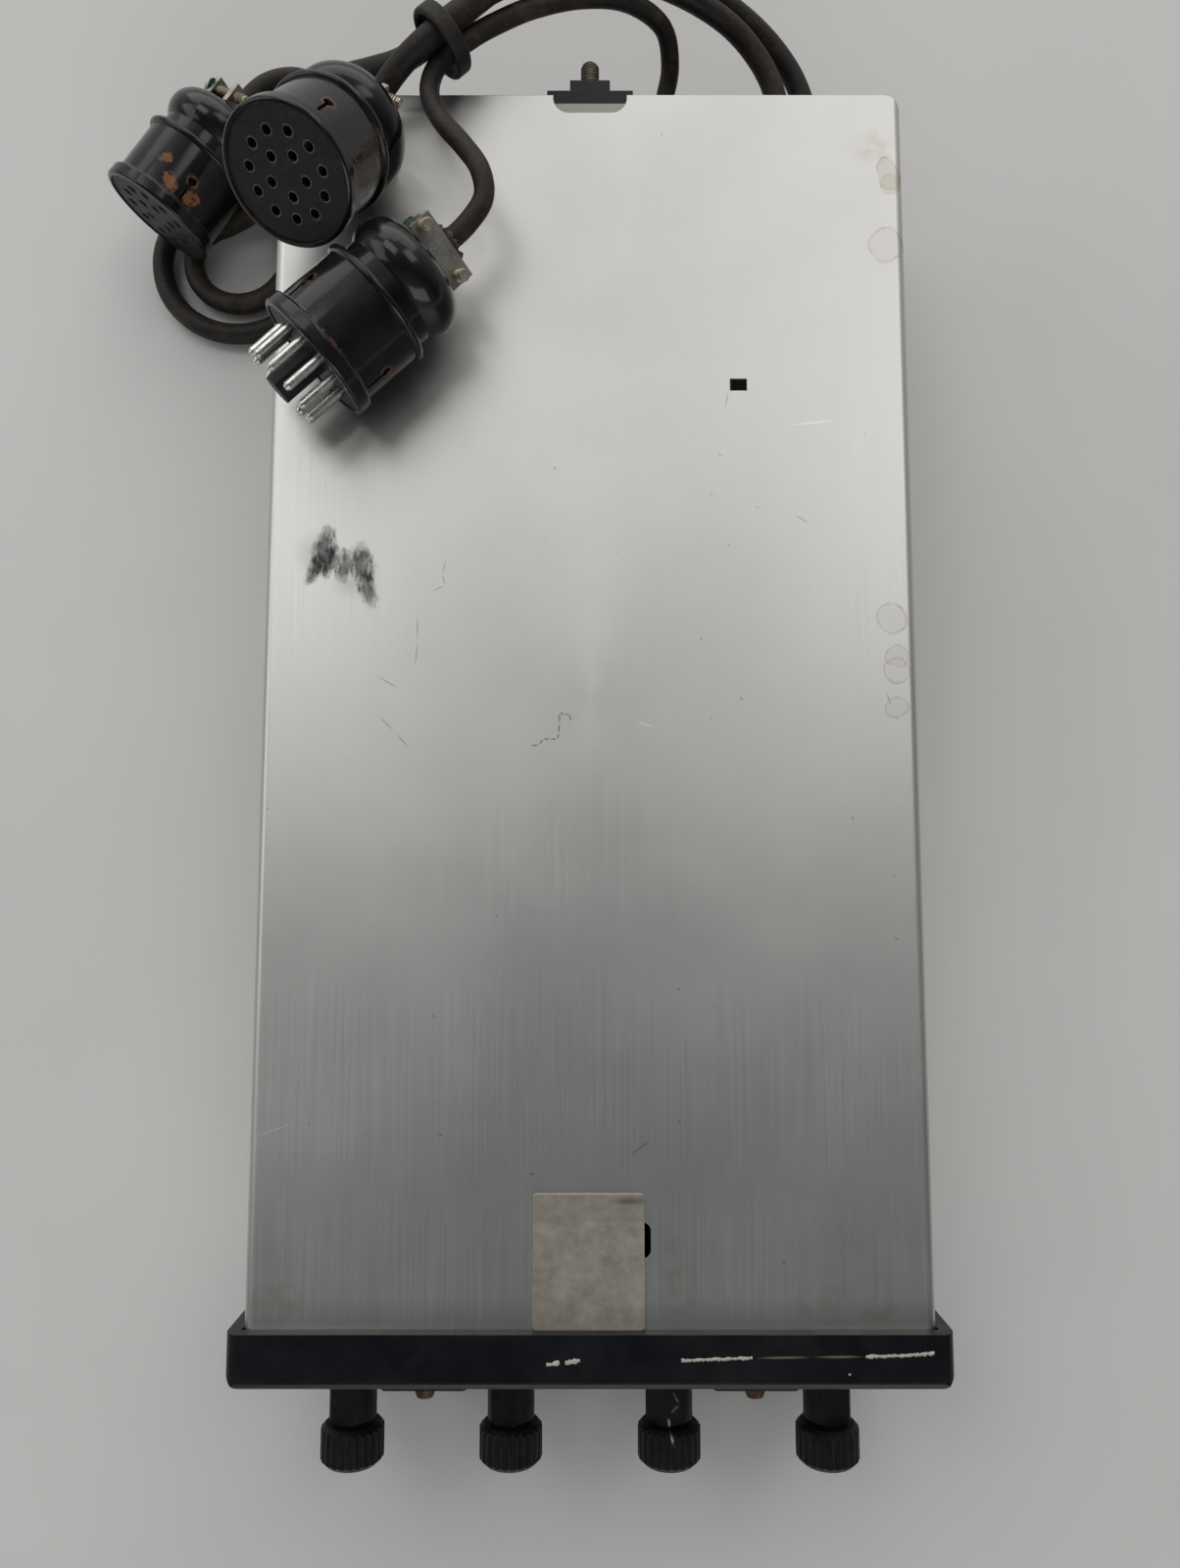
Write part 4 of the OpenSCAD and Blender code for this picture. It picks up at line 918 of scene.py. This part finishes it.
def dial_place(dial, turn, reach):
    """Place on a dial's face: Y points outward, Z toward the viewer; turn 0 is under the window."""
    low, high = (Vector(corner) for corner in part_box(dial))
    angle = math.radians(90 + turn)
    outward = Vector((math.cos(angle), 0, math.sin(angle)))
    along = Vector((math.sin(angle), 0, -math.cos(angle)))
    face = (low + high) / 2 + outward * reach * MM
    face.y = low.y - SKIN
    return Matrix((along, outward, (0, -1, 0))).transposed().to_4x4().normalized(), face


def add_tick(mesh, dial, turn, reach, size):
    turned, face = dial_place(dial, turn, reach)
    shape = Matrix.Diagonal((size[0] * MM, size[1] * MM, SKIN, 1))
    bmesh.ops.create_cube(mesh, size=1, matrix=Matrix.Translation(face) @ turned @ shape)


def add_figure(mesh, dial, turn, text):
    turned, face = dial_place(dial, turn, FIGURE_REACH)
    line = bpy.data.curves.new("figure", "FONT")
    line.body = text
    line.size = FIGURE_SIZE * MM
    line.align_x = "CENTER"
    line.align_y = "CENTER"
    line.extrude = SKIN / 2
    thing = bpy.data.objects.new("figure", line)
    made = bpy.data.meshes.new_from_object(thing)
    made.transform(Matrix.Translation(face) @ turned)
    mesh.from_mesh(made)
    bpy.data.meshes.remove(made)
    bpy.data.objects.remove(thing)
    bpy.data.curves.remove(line)


def make_scales():
    mesh = bmesh.new()
    step = RECEIVER_TURN / (RECEIVER_FIGURES - 1)
    for k in range(RECEIVER_FIGURES):
        add_figure(mesh, "receiver_dial", -k * step, str(k))
        add_tick(mesh, "receiver_dial", -k * step, TICK_REACH, TICK)
        if k == RECEIVER_FIGURES - 1:
            break
        for part in range(1, FINE_TICKS):
            turn = -(k + part / FINE_TICKS) * step
            add_tick(mesh, "receiver_dial", turn, FINE_TICK_REACH, FINE_TICK)
    add_piece("receiver_scale", mesh, "receiver", INK)
    mesh = bmesh.new()
    step = CHANNEL_TURN / (CHANNEL_FIGURES - 1)
    for k in range(CHANNEL_FIGURES):
        turn = k * step - CHANNEL_TURN / 2
        add_figure(mesh, "channel_dial", turn, str(k))
        add_tick(mesh, "channel_dial", turn, TICK_REACH, TICK)
    add_piece("channel_scale", mesh, "transmitter", INK)


INK = plain("ink", (0.012, 0.012, 0.013), (0.03, 0.03, 0.03), 0.5, scale=1.5)
make_scales()

# Filled pointer lines on the faces of the front knobs: body of each, ends and width in millimetres
POINTERS = {"volume_knob": "volume", "fine_knob": "fine", "mode_knob": "mode", "phones_knob": "phones"}
POINTER_ENDS = (1.8, 5.6)
POINTER_W = 0.7
POINTER_STEPS = 8
POINTER_SINK = 0.2
POINTER_RISE = 0.06


def make_pointer(knob, body):
    mesh = bmesh.new()
    low, high = (Vector(corner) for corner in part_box(knob))
    middle = (low + high) / 2
    middle.y = low.y
    rows = []
    for k in range(POINTER_STEPS + 1):
        up = POINTER_ENDS[0] + (POINTER_ENDS[1] - POINTER_ENDS[0]) * k / POINTER_STEPS
        half = POINTER_W / 2 * min(1, 0.5 + k, 0.5 + POINTER_STEPS - k)
        crest = 0.8 * half
        profile = (
            (-half, POINTER_SINK), (-crest, -POINTER_RISE), (crest, -POINTER_RISE), (half, POINTER_SINK))
        rows.append([middle + mm(across, back, up) for across, back in profile])
    add_rows(mesh, rows)
    add_piece(body + "_pointer", mesh, body, POINTER_WHITE)


POINTER_WHITE = plain("pointer_white", (0.36, 0.35, 0.31), (0.6, 0.585, 0.53), 0.55, scale=1.2)
for knob, body in POINTERS.items():
    make_pointer(knob, body)


# Floor, in metres: its width, and its level a little below the set
FLOOR_W = 8
FLOOR_Z = -0.0005


def make_floor():
    bpy.ops.mesh.primitive_plane_add(size=FLOOR_W, location=(0, 0, FLOOR_Z))
    floor = bpy.context.object
    floor.name = "floor"
    s = Shader("floor_paper")
    cloud = s.noise(0.004, detail=5)
    s.colour(s.ramp(cloud, (0.3, (0.64, 0.63, 0.615)), (0.7, (0.71, 0.7, 0.685))))
    s.rough(s.span(cloud, 0.3, 0.7, 0.6, 0.75))
    paint(floor, s.material)


def make_lamp(name, place, aim, size, radiance):
    """A soft rectangular lamp, in metres, that the camera doesn't see."""
    data = bpy.data.lights.new(name, "AREA")
    data.shape = "RECTANGLE"
    data.size, data.size_y = size
    data.energy = radiance * math.pi * size[0] * size[1]
    lamp = bpy.data.objects.new(name, data)
    lamp.location = place
    lamp.rotation_euler = (Vector(aim) - Vector(place)).to_track_quat("-Z", "Y").to_euler()
    lamp.visible_camera = False
    bpy.context.collection.objects.link(lamp)


# Sky along Y, from the dim room in front of the set to the window side behind it
SKY = [
    (0.0, (0.415, 0.427, 0.432)), (0.14, (0.212, 0.225, 0.23)), (0.32, (0.056, 0.064, 0.07)),
    (0.5, (0.147, 0.152, 0.155)), (0.74, (0.402, 0.394, 0.382)), (1.0, (0.63, 0.61, 0.59))]


def make_sky():
    world = bpy.data.worlds.new("sky")
    bpy.context.scene.world = world
    world.use_nodes = True
    tree = world.node_tree
    where = tree.nodes.new("ShaderNodeTexCoord")
    parts = tree.nodes.new("ShaderNodeSeparateXYZ")
    span = tree.nodes.new("ShaderNodeMapRange")
    span.inputs["From Min"].default_value = -1
    ramp = tree.nodes.new("ShaderNodeValToRGB")
    set_stops(ramp.color_ramp, SKY)
    tree.links.new(where.outputs["Generated"], parts.inputs[0])
    tree.links.new(parts.outputs["Y"], span.inputs["Value"])
    tree.links.new(span.outputs[0], ramp.inputs[0])
    tree.links.new(ramp.outputs[0], tree.nodes["Background"].inputs["Color"])


make_floor()
make_sky()
make_lamp("left_softbox", (-0.62, 0.62, 1.5), (0, 0.05, 0), (0.6, 0.8), 2.1)
make_lamp("right_softbox", (0.62, 0.62, 1.5), (0, 0.05, 0), (0.6, 0.8), 1.8)
make_lamp("rear_window", (0, 3.2, 1.8), (0, 0, 0), (5, 2.6), 1.2)
make_lamp("left_fill", (-1.7, 0.3, 1.1), (0, 0, 0), (1.4, 1.0), 1.3)
make_lamp("front_fill", (0.5, -2.4, 1.0), (0, 0, 0), (2.4, 1.2), 1.5)

bpy.context.scene.view_settings.view_transform = "Standard"
bpy.context.view_layer.update()
